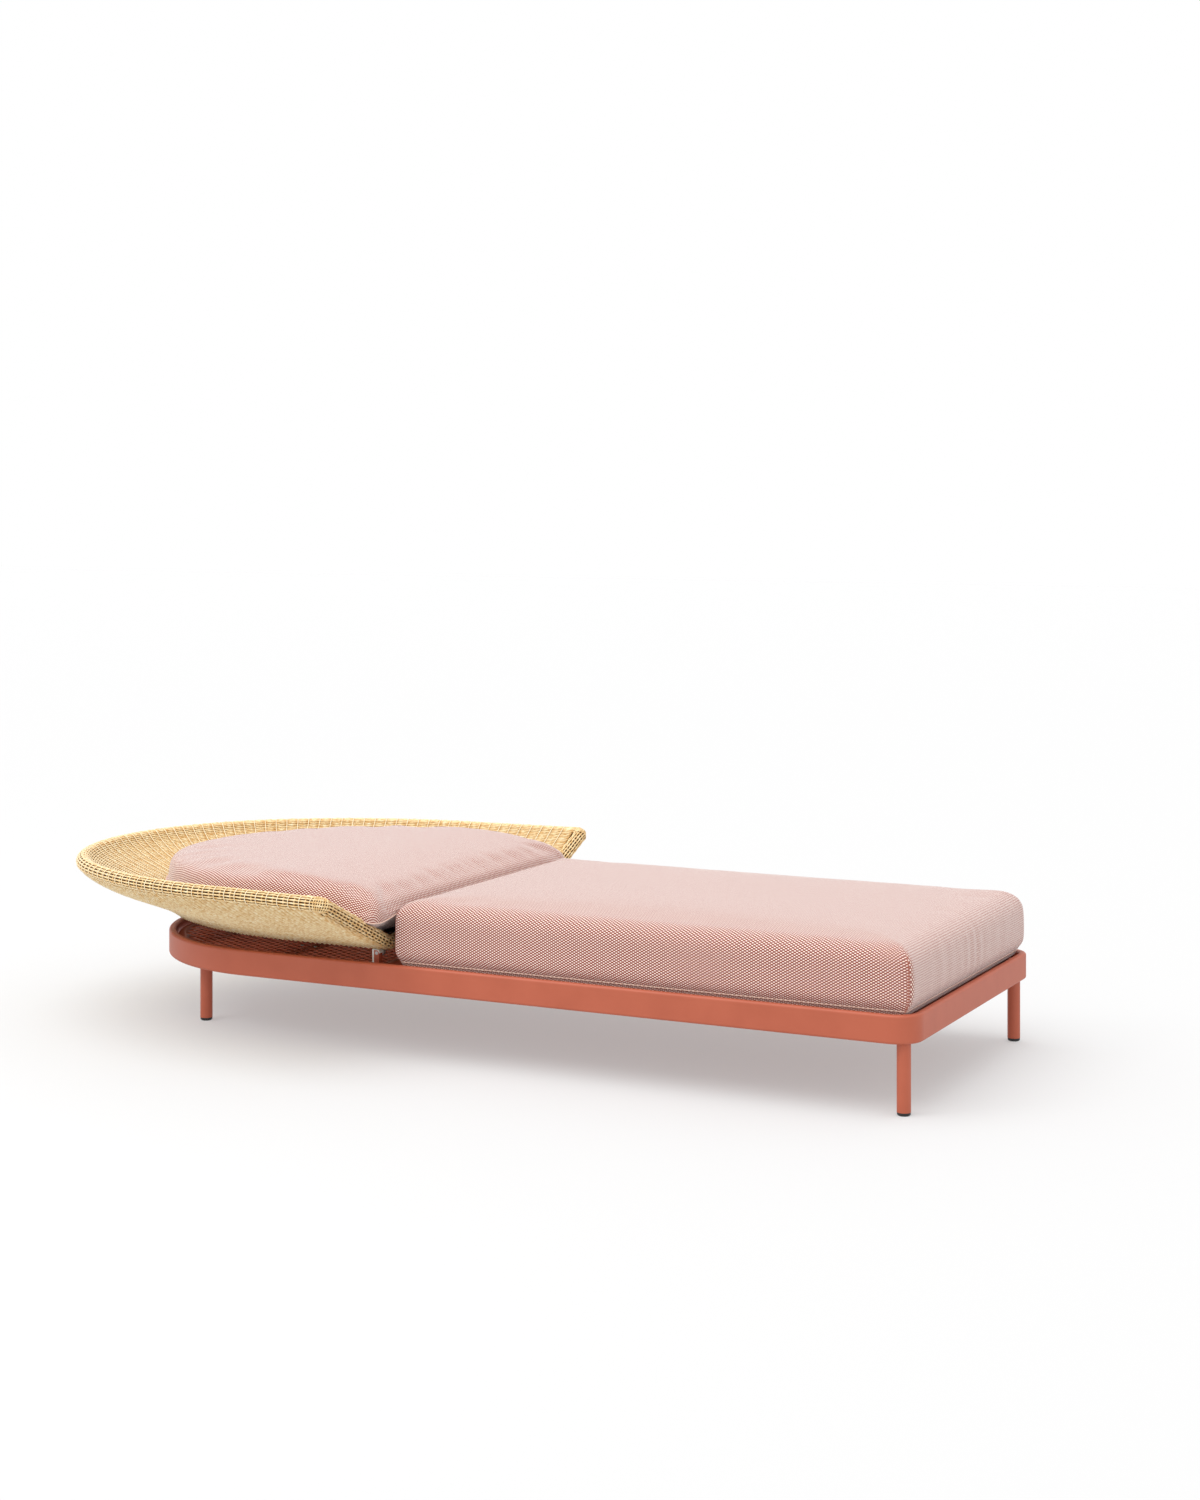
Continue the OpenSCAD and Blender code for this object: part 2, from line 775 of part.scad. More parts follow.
// Woven skin of the flare, between the heights lo and hi over the underside: the outer one an open band,
// the inner one with a floor across the belly and a swell towards the rim
module skin(lo, hi, inner) {
    n = 2 * stations + 1;
    rings = skin_rings;
    function side_of(c) = c <= stations ? -1 : 1;
    function station_of(c) = c <= stations ? c : 2 * stations - c;
    function at(c, j, dz) =
        let (i = station_of(c), u = j / rings * (inner ? inner_u(i) : outer_u(i)),
             p = mix(belly_point(i), rim_point(i), u))
        [p[0], side_of(c) * p[1], shell_z(u, turn_at(i)) + (inner ? swell(u) : 0) + dz];
    function lo_id(c, j) = j * n + c;
    function hi_id(c, j) = n * (rings + 1) + j * n + c;
    sheet = [for (j = [0:rings - 1], c = [0:n - 2]) [c, j]];
    polyhedron(
        points = [for (dz = [lo, hi], j = [0:rings], c = [0:n - 1]) at(c, j, dz)],
        faces = concat(
            [for (s = sheet) [lo_id(s[0], s[1]), lo_id(s[0] + 1, s[1] + 1), lo_id(s[0], s[1] + 1)]],
            [for (s = sheet) [lo_id(s[0], s[1]), lo_id(s[0] + 1, s[1]), lo_id(s[0] + 1, s[1] + 1)]],
            [for (s = sheet) [hi_id(s[0], s[1]), hi_id(s[0], s[1] + 1), hi_id(s[0] + 1, s[1] + 1)]],
            [for (s = sheet) [hi_id(s[0], s[1]), hi_id(s[0] + 1, s[1] + 1), hi_id(s[0] + 1, s[1])]],
            [for (c = [0:n - 2]) [lo_id(c, rings), lo_id(c + 1, rings), hi_id(c + 1, rings)]],
            [for (c = [0:n - 2]) [lo_id(c, rings), hi_id(c + 1, rings), hi_id(c, rings)]],
            [for (j = [0:rings - 1]) [lo_id(0, j), lo_id(0, j + 1), hi_id(0, j + 1), hi_id(0, j)]],
            [for (j = [0:rings - 1]) [lo_id(n - 1, j), hi_id(n - 1, j), hi_id(n - 1, j + 1), lo_id(n - 1, j + 1)]],
            inner
            ? concat(
                [for (c = [0:stations - 1]) [lo_id(c, 0), lo_id(n - 1 - c, 0), lo_id(c + 1, 0)]],
                [for (c = [0:stations - 2]) [lo_id(c + 1, 0), lo_id(n - 1 - c, 0), lo_id(n - 2 - c, 0)]],
                [for (c = [0:stations - 1]) [hi_id(c, 0), hi_id(c + 1, 0), hi_id(n - 1 - c, 0)]],
                [for (c = [0:stations - 2]) [hi_id(c + 1, 0), hi_id(n - 2 - c, 0), hi_id(n - 1 - c, 0)]],
                [[lo_id(0, 0), hi_id(0, 0), hi_id(n - 1, 0), lo_id(n - 1, 0)]])
            : concat(
                [for (c = [0:n - 2]) [lo_id(c, 0), hi_id(c, 0), hi_id(c + 1, 0)]],
                [for (c = [0:n - 2]) [lo_id(c, 0), hi_id(c + 1, 0), lo_id(c + 1, 0)]])));
}

module outer_skin() {
    color(straw)
        skin(0, skin_t, false);
}

module inner_skin() {
    color(straw)
        skin(inner_low, wall_h, true);
}

// Woven panel under the belly, with slots for the hinge lugs and the stay brackets
module belly_panel() {
    color(straw)
        translate([0, 0, belly_z])
            linear_extrude(skin_t)
                difference() {
                    polygon(d_points(rest));
                    for (side = [-1, 1]) {
                        translate([hinge_x - lug_r * 2 - rest, side * lug_y - lug_t / 2 - rest])
                            square([lug_r * 3.2, lug_t + 2 * rest]);
                        translate([pivot_x - bracket_w / 2 - rest, side * stay_side - bracket_half_w - rest])
                            square([bracket_w + 2 * rest, 2 * (bracket_half_w + rest)]);
                    }
                }
}

// Lug under the belly frame, with the bore for its bush
module hinge_lugs() {
    color(bare)
        for (side = [-1, 1])
            translate([hinge_x, side * lug_y + lug_t / 2, hinge_z])
                rotate([90, 0, 0])
                    difference() {
                        linear_extrude(lug_t)
                            union() {
                                circle(lug_r);
                                polygon([
                                    [-lug_r, 0], [lug_r * 0.8, 0],
                                    [lug_r * 0.4, frame_z - hinge_z], [-lug_r * 1.8, frame_z - hinge_z]]);
                            }
                        translate([0, 0, -eps])
                            cylinder(r = bush_r, h = lug_t + 2 * eps);
                    }
}

module hinge_bushes() {
    color(white)
        for (side = [-1, 1])
            translate([hinge_x, side * lug_y, hinge_z])
                rotate([90, 0, 0])
                    difference() {
                        union() {
                            cylinder(r = bush_r - 0.02, h = lug_t, center = true);
                            for (end = [-1, 1])
                                translate([0, 0, end * (lug_t + bush_flange_t) / 2])
                                    cylinder(r = bush_flange_r, h = bush_flange_t, center = true);
                        }
                        cylinder(r = pin_d / 2 + pin_fit, h = lug_t * 2, center = true);
                    }
}

// Clevis under a spine that holds one end of the stay
module stay_brackets() {
    half_gap = bracket_half_w - ear_t;
    color(bare)
        for (side = [-1, 1])
            translate([pivot_x, side * stay_side, 0])
                difference() {
                    union() {
                        translate([-bracket_w / 2, -half_gap - ear_t, web_z])
                            cube([bracket_w, 2 * (half_gap + ear_t), web_t]);
                        for (ear = [-1, 1])
                            translate([0, ear * (half_gap + ear_t / 2), hinge_z])
                                rotate([90, 0, 0]) {
                                    cylinder(r = lug_r, h = ear_t, center = true);
                                    translate([-lug_r, 0, -ear_t / 2])
                                        cube([2 * lug_r, web_z - hinge_z + web_t / 2, ear_t]);
                                }
                    }
                    translate([0, 0, hinge_z])
                        rotate([90, 0, 0])
                            cylinder(d = pin_d, h = 4 * stay_d, center = true);
                }
}

module stay_pins() {
    color(bare)
        for (side = [-1, 1])
            translate([pivot_x, side * stay_side, hinge_z])
                rotate([90, 0, 0])
                    cylinder(d = pin_d, h = stay_d + 2 * ear_gap + 2 * ear_t + 2, center = true);
}

// U-shaped stay: two arms and the foot rod in one bent bar, with round ends at the pivots
module stay_line(r) {
    for (side = [-1, 1]) {
        translate([pivot_x, side * stay_side, hinge_z])
            sphere(r);
        rod([pivot_x, side * stay_side, hinge_z], [rod_x + stay_bend, side * stay_side, hinge_z], r);
        translate([rod_x + stay_bend, side * (stay_side - stay_bend), hinge_z])
            rotate([0, 0, side > 0 ? 90 : 180])
                rotate_extrude(angle = 90)
                    translate([stay_bend, 0])
                        circle(r);
    }
    rod([rod_x, -stay_side + stay_bend, hinge_z], [rod_x, stay_side - stay_bend, hinge_z], r);
}

module stay() {
    color(bare)
        difference() {
            stay_line(stay_d / 2);
            translate([pivot_x, 0, hinge_z])
                rotate([90, 0, 0])
                    cylinder(r = pin_d / 2 + pin_fit, h = 2 * stay_side + 4 * stay_d, center = true);
        }
}

// Closed soft solid from rings of points that all have the same count, the first at the bottom
module soft_body(rings, low_mid, high_mid) {
    n = len(rings[0]);
    m = len(rings);
    polyhedron(
        points = concat([for (ring = rings, p = ring) p], [low_mid, high_mid]),
        faces = concat(
            [for (k = [0:n - 1]) [m * n, k, (k + 1) % n]],
            [for (k = [0:n - 1]) [m * n + 1, (m - 1) * n + (k + 1) % n, (m - 1) * n + k]],
            [for (j = [0:m - 2], k = [0:n - 1]) [j * n + k, (j + 1) * n + k, (j + 1) * n + (k + 1) % n]],
            [for (j = [0:m - 2], k = [0:n - 1]) [j * n + k, (j + 1) * n + (k + 1) % n, j * n + (k + 1) % n]]));
}

// Seat cushion: rings of a rounded rectangle, drawn in at the seams and crowned on top
seat_x0 = front_x + joint_ahead;
seat_x1 = foot_x - ring_t + seat_over;
seat_half = inner_half + seat_over;
function seat_ring(inset, z) =
    let (hx = (seat_x1 - seat_x0) / 2 - inset, hy = seat_half - inset, r = max(seat_corner - inset * 0.4, 8),
         cx = (seat_x0 + seat_x1) / 2)
    [for (q = [0:3], a = [0:15:90], s = (a == 90 ? [0, 1, 2] : [0]))
        let (sx = q == 0 || q == 3 ? 1 : -1, sy = q < 2 ? 1 : -1, t = q * 90 + a,
             corner = [cx + sx * (hx - r) + r * cos(t), sy * (hy - r) + r * sin(t)],
             nx = q == 1 || q == 2 ? -1 : 1,
             along = q == 0 || q == 2 ? [-sx * 2 * (hx - r), 0] : [0, -sy * 2 * (hy - r)],
             p = corner + along * s / 3)
        [p[0], p[1], z]];
module seat_cushion() {
    z0 = deck_z + rest;
    under = seat_over + 1.5;
    bulge_z = mix(ring_top, seat_edge, 0.45);
    color(cloth)
        soft_body(
            [
                seat_ring(under + 14, z0),
                seat_ring(under + 3, z0 + 6),
                seat_ring(under, ring_top - 2),
                seat_ring(2.5, ring_top + 14),
                seat_ring(0, bulge_z),
                seat_ring(2, mix(bulge_z, seat_edge, 0.6)),
                seat_ring(8, seat_edge - 2),
                seat_ring(20, seat_edge + 9),
                seat_ring(seat_half * 0.11, mix(seat_edge, seat_top, 0.62)),
                seat_ring(seat_half * 0.27, mix(seat_edge, seat_top, 0.84)),
                seat_ring(seat_half * 0.53, mix(seat_edge, seat_top, 0.96)),
            ],
            [(seat_x0 + seat_x1) / 2, 0, z0],
            [(seat_x0 + seat_x1) / 2, 0, seat_top]);
}

// Head cushion: rings of a D-shaped outline between the bowl of the shell and the crown
pillow_x0 = seat_x0 - 1;
pillow_cx = rim_x;
pillow_half = mix(belly_half, rim_half, pillow_share);
pillow_len = rim_len - pillow_tip_gap;
pillow_tip_r = rim_tip_r - (rim_half - pillow_half);
function pillow_side(inset) =
    let (b = pillow_half - inset, r = max(pillow_corner - inset * 0.4, 6), x0 = pillow_x0 - inset)
    concat(
        [[x0, 0], [x0, b * 0.4], [x0, b * 0.75]],
        [for (a = [0:22.5:90]) [x0 - r + r * cos(a), b - r + r * sin(a)]],
        [[mix(x0 - r, pillow_cx, 0.35), b], [mix(x0 - r, pillow_cx, 0.7), b]],
        [for (a = [0:6:84]) oval(pillow_cx, pillow_len - inset, b, pillow_tip_r - inset, a)],
        [[pillow_cx - pillow_len + inset, 0]]);
function pillow_outline(inset) =
    let (half = pillow_side(inset))
    concat(half, [for (k = [len(half) - 2:-1:1]) flip(half[k])]);
function pillow_crown(p) =
    let (back = min(1, (pillow_x0 - p[0]) / 330))
    mix(pillow_front_top, pillow_top, 1 - (1 - back) * (1 - back));
module head_cushion() {
    low_z = belly_z + wall_h + 1;
    low_run = pillow_half - belly_half;
    function flat_ring(inset, z) = [for (p = pillow_outline(inset)) [p[0], p[1], z]];
    function top_ring(inset, k) =
        [for (p = pillow_outline(inset)) [p[0], p[1], mix(pillow_seam, pillow_crown(p), k)]];
    color(cloth)
        soft_body(
            [
                flat_ring(low_run + 13, low_z),
                flat_ring(low_run - 15, low_z + 8),
                flat_ring(low_run * 0.37, mix(low_z, pillow_seam, 0.62)),
                flat_ring(12, pillow_seam - 12),
                flat_ring(0, pillow_seam),
                top_ring(0, 0.3),
                top_ring(4, 0.5),
                top_ring(14, 0.68),
                top_ring(pillow_half * 0.07, 0.82),
                top_ring(pillow_half * 0.17, 0.92),
                top_ring(pillow_half * 0.36, 0.98),
            ],
            [pillow_cx, 0, low_z],
            [pillow_cx, 0, pillow_top]);
}

head_hoop();
rail(-1);  // rail_near
rail(1);  // rail_far
foot_corners();
foot_bar();
seat_bars();
hinge_bar();
hoop_bars();
deck_seat();
deck_head();
foot_leg_blocks();
head_leg_plates();
foot_leg(-1);  // leg_foot_near
foot_leg(1);  // leg_foot_far
head_leg(-1);  // leg_head_near
head_leg(1);  // leg_head_far
glides();
hinge_posts();
post_strips();
hinge_pins();
rack(-1);  // rack_near
rack(1);  // rack_far
rest_buffers();
seat_cushion();
rim_tube();
front_tube();
belly_frame();
back_ribs();
belly_panel();
outer_skin();
inner_skin();
rim_roll();
front_roll();
hinge_lugs();
hinge_bushes();
stay_brackets();
stay_pins();
stay();
head_cushion();
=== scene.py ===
"""Looks of a sun lounger: powder-coated base, wicker back shell and two dotted cushions."""
import json
import math

import bmesh
import bpy
import numpy as np
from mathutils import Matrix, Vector
from mathutils.bvhtree import BVHTree


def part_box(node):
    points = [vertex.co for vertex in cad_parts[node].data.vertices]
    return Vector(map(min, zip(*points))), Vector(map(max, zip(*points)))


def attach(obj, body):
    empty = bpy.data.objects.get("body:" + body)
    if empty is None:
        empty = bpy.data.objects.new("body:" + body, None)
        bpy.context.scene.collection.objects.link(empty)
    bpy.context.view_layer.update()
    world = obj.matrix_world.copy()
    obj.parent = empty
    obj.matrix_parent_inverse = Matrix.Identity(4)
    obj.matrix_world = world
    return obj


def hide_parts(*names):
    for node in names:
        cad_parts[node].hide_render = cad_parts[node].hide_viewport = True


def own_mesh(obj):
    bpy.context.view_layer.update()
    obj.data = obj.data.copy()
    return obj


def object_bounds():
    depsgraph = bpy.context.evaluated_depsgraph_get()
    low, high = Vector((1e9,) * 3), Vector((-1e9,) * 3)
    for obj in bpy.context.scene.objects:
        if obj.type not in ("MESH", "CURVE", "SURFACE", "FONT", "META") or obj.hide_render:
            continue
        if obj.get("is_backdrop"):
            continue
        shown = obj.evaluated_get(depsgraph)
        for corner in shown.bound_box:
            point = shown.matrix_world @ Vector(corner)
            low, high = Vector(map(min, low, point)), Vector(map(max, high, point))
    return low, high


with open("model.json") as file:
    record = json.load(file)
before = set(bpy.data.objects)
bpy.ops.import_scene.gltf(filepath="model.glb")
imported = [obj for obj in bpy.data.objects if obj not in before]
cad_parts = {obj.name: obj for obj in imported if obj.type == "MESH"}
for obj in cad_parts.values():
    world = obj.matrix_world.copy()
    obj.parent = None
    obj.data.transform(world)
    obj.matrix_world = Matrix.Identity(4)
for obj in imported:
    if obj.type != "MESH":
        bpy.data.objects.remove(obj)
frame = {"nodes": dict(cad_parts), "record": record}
cad_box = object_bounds()

# Driving sizes of the part, in millimetres
MM = 0.001
FOOT_X = cad_box[1].x / MM
RIM_WIDE_X = FOOT_X - 1595
RIM_LEN = 737
RIM_HALF = 615
RIM_TIP_R = 556
RIM_FLARE = 24
RIM_Z = 380
CORNER_Y = RIM_HALF + RIM_FLARE
BELLY_WIDE_X = FOOT_X - 1561
BELLY_LEN = 541
BELLY_HALF = 365
BELLY_TIP_R = 290
BELLY_Z = 235
FRONT_X = FOOT_X - 1314
FRONT_LOW_Z = 250
FRONT_KINK_Y = 357
ROLL_R = 17.5
TUBE_R = 11

# Wall of the shell: its rise and flare from belly to rim, how thick it is, and how it swells towards the rim
RIM_RISE = 117.4
FLARE_FULL = 0.72
FLARE_BACK = 1.7
WALL = 26.3
WALL_SWELL = 22
SWELL_FROM = 0.3
LIFT_FROM = 0.65

# Wicker, in millimetres: strands, their rows and how far they wave in and out
STAKE_STEP = 31
LOOP_STEP = STAKE_STEP / 4
FACE_DEPTH = 2.6
ROLL_ROWS = 14
ROLL_STRAND_R = 1.85
STAKE_R = 1.15
UNDER_STAKE_R = 2.1
STAKE_SINK = 0.5
WAVE = 0.9
RIDGE = 2.3
INNER_PITCH = 6.4
OUTER_PITCH = 5.2
STRAND_R = 2.4
CORE_DEPTH = 6.2
CORE_GAP = 0.4

# Sides of a strand's round section: plain ones, and those of the edge and the seams
FEW_SIDES = 5
MORE_SIDES = 6

# Tone of the strands: painted highlight where they stand out and painted shade where they dip, and how much
# one differs from the next
CROSSING_PAINTED_LIGHT = 0.35
RIB_PAINTED_LIGHT = 0.6
TONE_SPREAD = 0.35
UNDER_SPREAD = 0.12

# Fabric: distance between two dots of a row, and between two rows of the same phase
DOT_ALONG = 10.4
DOT_ACROSS = 6.2

# Seat cushion: its rounding, the cells of its mesh, how squarely its corners turn, and how far the base's
# ring draws it in. It reaches towards the head cushion a little past its solid
SEAT_EDGE_TOP = 352
SEAT_ROUND = 40
SEAT_CELL = 13
SEAT_SQUARE = 6
SEAT_DRAWN_IN = 7.5
SEAT_PRESS = 8

# Foot face of the seat cushion: how far it bulges, and the soft upright folds of its middle
FOOT_BULGE = 7
FOLD_PITCH = 58
FOLD_DEPTH = 1.7
FOLD_REACH = 230

# Head cushion: its D-shaped outline, its seam, which sags at the front corners, and its crown
PILLOW_LEN = 515
PILLOW_WIDE_BACK = 328
PILLOW_TIP_R = 419
PILLOW_CORNER_R = 20
PILLOW_SEAM_Z = 334
PILLOW_FRONT_TOP = 368
PILLOW_CROWN_LEN = 330
CORNER_FALL = 20
CORNER_REACH = 90

# Share of the head cushion's outline that the even faces of its middle fill
CORE_SHARE = 0.6

# Deck: a triangular pattern of round holes
HOLE_PITCH = 22.7
HOLE_D = 15.5
DECK_BORDER = 24
DECK_CORNER_R = 37


def linear(text):
    """Linear colour of an sRGB hex value."""
    parts = [int(text[i:i + 2], 16) / 255 for i in (1, 3, 5)]
    return [c / 12.92 if c <= 0.04045 else ((c + 0.055) / 1.055) ** 2.4 for c in parts] + [1.0]


def box(node):
    """Lowest and highest corner of a CAD node, in millimetres."""
    return [np.array(corner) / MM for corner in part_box(node)]


def set_all(thing, **values):
    """The thing, with several of its attributes set."""
    for name, value in values.items():
        setattr(thing, name, value)
    return thing


def add(tree, kind, inputs=None, **settings):
    """New node with its settings, and each input set to a value or linked to a socket."""
    node = set_all(tree.nodes.new(kind), **settings)
    for name, value in (inputs or {}).items():
        if isinstance(value, bpy.types.NodeSocket):
            tree.links.new(value, node.inputs[name])
        else:
            node.inputs[name].default_value = value
    return node


def new_material(name, roughness, **constants):
    """Empty material with a Principled shader, whose constant values are set on its own sockets."""
    material = bpy.data.materials.new(name)
    material.use_nodes = True
    tree = material.node_tree
    tree.nodes.clear()
    shader = add(tree, "ShaderNodeBsdfPrincipled", {"Roughness": roughness})
    for socket, value in constants.items():
        shader.inputs[socket.replace("_", " ")].default_value = value
    output = add(tree, "ShaderNodeOutputMaterial", {"Surface": shader.outputs[0]})
    output.is_active_output = True
    return material, tree, shader


def lumps(tree, size, detail=2.0, coordinates=None):
    """Uneven value over a piece, whose lumps are about so many millimetres across."""
    source = coordinates or add(tree, "ShaderNodeTexCoord").outputs["Object"]
    node = add(tree, "ShaderNodeTexNoise", {"Vector": source, "Scale": 1 / (size * MM), "Detail": detail})
    return node.outputs["Fac"]


def surface(tree, shader, value, stops, relief, depth, strength=1.0):
    """Base colour from a value through (place, hex colour) stops, and a relief so many millimetres deep."""
    colours = add(tree, "ShaderNodeValToRGB", {"Fac": value})
    elements = colours.color_ramp.elements
    while len(elements) < len(stops):
        elements.new(0.5)
    for element, (place, colour) in zip(elements, stops):
        element.position = place
        element.color = linear(colour)
    tree.links.new(colours.outputs["Color"], shader.inputs["Base Color"])
    raised = add(tree, "ShaderNodeBump", {"Height": relief, "Distance": depth * MM, "Strength": strength})
    tree.links.new(raised.outputs["Normal"], shader.inputs["Normal"])


def powder_coat():
    """Polyester powder, sprayed and oven cured on aluminium: an even matte film with a fine orange peel."""
    material, tree, shader = new_material("terracotta_powder_coat", 0.48, IOR=1.5)
    cloudy = lumps(tree, size=90, detail=3.0)
    peel = lumps(tree, size=1.2, detail=3.0)
    surface(tree, shader, cloudy, [(0.35, "#ad5438"), (0.65, "#b3593d")], relief=peel, depth=0.05)
    return material


def tooled_metal(name, low, high, roughness, grain):
    """Bare metal part with a fine tooled grain that breaks its gloss."""
    material, tree, shader = new_material(name, roughness, Metallic=1.0)
    streak = lumps(tree, size=grain, detail=4.0)
    surface(tree, shader, streak, [(0.0, low), (1.0, high)], relief=streak, depth=0.02)
    return material


def fine_skin(name, low, high, roughness, cloud, grain, depth, **constants):
    """Skin that varies between two near tones and has a fine grain, both so many millimetres across."""
    material, tree, shader = new_material(name, roughness, **constants)
    cloudy = lumps(tree, size=cloud)
    surface(tree, shader, cloudy, [(0.3, low), (0.7, high)], relief=lumps(tree, size=grain), depth=depth)
    return material


def polymer_skin(name, low, high, roughness, grain):
    """Moulded polymer, or powder baked on metal: an even skin with a faint spark-eroded grain."""
    return fine_skin(name, low, high, roughness, cloud=25, grain=grain, depth=0.04, IOR=1.49)


def resin_strand(name, stops):
    """Extruded polyethylene strand in straw tones: flecked, each one lighter or darker, with a satin skin;
    its tone also carries painted highlight and shade.
    """
    material, tree, shader = new_material(name, 0.46, IOR=1.5)
    tone = add(tree, "ShaderNodeAttribute", attribute_name="tone", attribute_type="GEOMETRY").outputs["Fac"]
    fleck = lumps(tree, size=9)
    lit = add(tree, "ShaderNodeMath", {0: tone, 1: fleck, 2: fleck}, operation="MULTIPLY_ADD")
    half = add(tree, "ShaderNodeMath", {0: lit.outputs[0], 1: 0.5}, operation="MULTIPLY")
    surface(tree, shader, half.outputs[0], stops, relief=lumps(tree, size=1.5), depth=0.08)
    return material


def shaded_core():
    """Inside of the double-walled weave, coloured dark brown as painted shade, which shows in the slots
    between the strands.
    """
    return fine_skin("shaded_weave_core", "#583913", "#6e4a1d", 0.8, cloud=12, grain=3, depth=0.3)


def dotted_cloth():
    """Outdoor fabric woven in two yarns: terracotta floats on a cream ground, staggered row by row."""
    slub_share = 0.2
    all_ground = -0.62
    all_float = 0.26
    material, tree, shader = new_material(
        "dotted_outdoor_fabric", 0.86, Sheen_Weight=0.58, Sheen_Roughness=0.5)
    cut = add(tree, "ShaderNodeUVMap", uv_map="cut").outputs["UV"]
    axes = add(tree, "ShaderNodeSeparateXYZ", {"Vector": cut})
    waves = []
    for axis, pitch in (("X", DOT_ALONG), ("Y", DOT_ACROSS)):
        per_metre = 2 * math.pi / (pitch * MM)
        turn = add(tree, "ShaderNodeMath", {0: axes.outputs[axis], 1: per_metre}, operation="MULTIPLY")
        waves.append(add(tree, "ShaderNodeMath", {0: turn.outputs[0]}, operation="COSINE").outputs[0])
    checker = add(tree, "ShaderNodeMath", {0: waves[0], 1: waves[1]}, operation="MULTIPLY").outputs[0]
    slub = lumps(tree, size=2.2, coordinates=cut)
    wander = add(tree, "ShaderNodeMath", {0: slub, 1: 0.5}, operation="SUBTRACT").outputs[0]
    shifted = add(tree, "ShaderNodeMath", {0: wander, 1: slub_share, 2: checker}, operation="MULTIPLY_ADD")
    place = add(tree, "ShaderNodeMapRange", {
        "Value": shifted.outputs[0], "From Min": all_ground, "From Max": all_float})
    stops = [(0.0, "#f6ebe1"), (0.4, "#e8d5c6"), (0.5, "#a2442f"), (1.0, "#7c2610")]
    relief = add(tree, "ShaderNodeMath", {0: checker}, operation="ABSOLUTE").outputs[0]
    surface(tree, shader, place.outputs["Result"], stops, relief, depth=0.35, strength=0.6)
    return material


def sewn_cord(name, low, high):
    """Cord or thread sewn into the seams, with the twist of its yarn."""
    return fine_skin(name, low, high, 0.85, cloud=2, grain=1.5, depth=0.15, Sheen_Weight=0.2)


def new_object(name, data, material=None):
    """Object at the origin, in the scene."""
    piece = bpy.data.objects.new(name, data)
    bpy.context.scene.collection.objects.link(piece)
    if material:
        data.materials.append(material)
    return piece


def mesh_object(name, points, faces, material=None):
    """Object at the origin from points in millimetres."""
    mesh = bpy.data.meshes.new(name)
    mesh.from_pydata([tuple(p) for p in np.asarray(points, float) * MM], [], [tuple(f) for f in faces])
    mesh.update()
    return new_object(name, mesh, material)


def belong(body, slot, *pieces):
    """Lets the pieces ride on a body; the slot is not used."""
    for piece in pieces:
        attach(piece, body)


def smooth_shaded(piece):
    """Smooth shading on every face."""
    piece.data.polygons.foreach_set("use_smooth", [True] * len(piece.data.polygons))


def solid(name, points, faces, material=None):
    """Closed mesh object from points in millimetres, smooth and facing outwards."""
    piece = mesh_object(name, points, faces, material)
    work = bmesh.new()
    work.from_mesh(piece.data)
    bmesh.ops.remove_doubles(work, verts=work.verts, dist=1e-6)
    bmesh.ops.recalc_face_normals(work, faces=work.faces)
    work.to_mesh(piece.data)
    work.free()
    smooth_shaded(piece)
    return piece


def applied(piece):
    """The piece with its modifiers' result as its plain mesh."""
    graph = bpy.context.evaluated_depsgraph_get()
    seen = piece.evaluated_get(graph)
    made = bpy.data.meshes.new_from_object(seen, preserve_all_data_layers=True, depsgraph=graph)
    piece.modifiers.clear()
    piece.data = made
    return piece


def node_tree(name, inputs):
    """Geometry node tree with named inputs, and its input and output nodes."""
    tree = bpy.data.node_groups.new(name, "GeometryNodeTree")
    tree.interface.new_socket(name="Geometry", in_out="INPUT", socket_type="NodeSocketGeometry")
    for label, kind in inputs:
        tree.interface.new_socket(name=label, in_out="INPUT", socket_type="NodeSocket" + kind)
    tree.interface.new_socket(name="Geometry", in_out="OUTPUT", socket_type="NodeSocketGeometry")
    return tree, tree.nodes.new("NodeGroupInput").outputs, tree.nodes.new("NodeGroupOutput").inputs


def run_tree(piece, tree, values):
    """Puts the tree on the piece with its inputs set by identifier, and keeps the result as a plain mesh."""
    modifier = piece.modifiers.new("made", "NODES")
    modifier.node_group = tree
    for item in tree.interface.items_tree:
        if item.in_out == "INPUT" and item.name in values:
            modifier[item.identifier] = values[item.name]
    return applied(piece)


def strand_tree():
    """Tree that lays a round strand along each line of a mesh."""
    tree, given, out = node_tree("round_strands", [
        ("Strand radius", "Float"), ("Sides", "Int"), ("Material", "Material")])
    lines = add(tree, "GeometryNodeMeshToCurve", {"Mesh": given["Geometry"]})
    ring = add(tree, "GeometryNodeCurvePrimitiveCircle", {
        "Resolution": given["Sides"], "Radius": given["Strand radius"]})
    tubes = add(tree, "GeometryNodeCurveToMesh", {
        "Curve": lines.outputs[0], "Profile Curve": ring.outputs["Curve"], "Fill Caps": True})
    smooth = add(tree, "GeometryNodeSetShadeSmooth", {0: tubes.outputs[0]})
    realized = add(tree, "GeometryNodeRealizeInstances", {0: smooth.outputs[0]})
    painted = add(tree, "GeometryNodeSetMaterial", {
        "Geometry": realized.outputs[0], "Material": given["Material"]})
    tree.links.new(painted.outputs[0], out["Geometry"])
    return tree


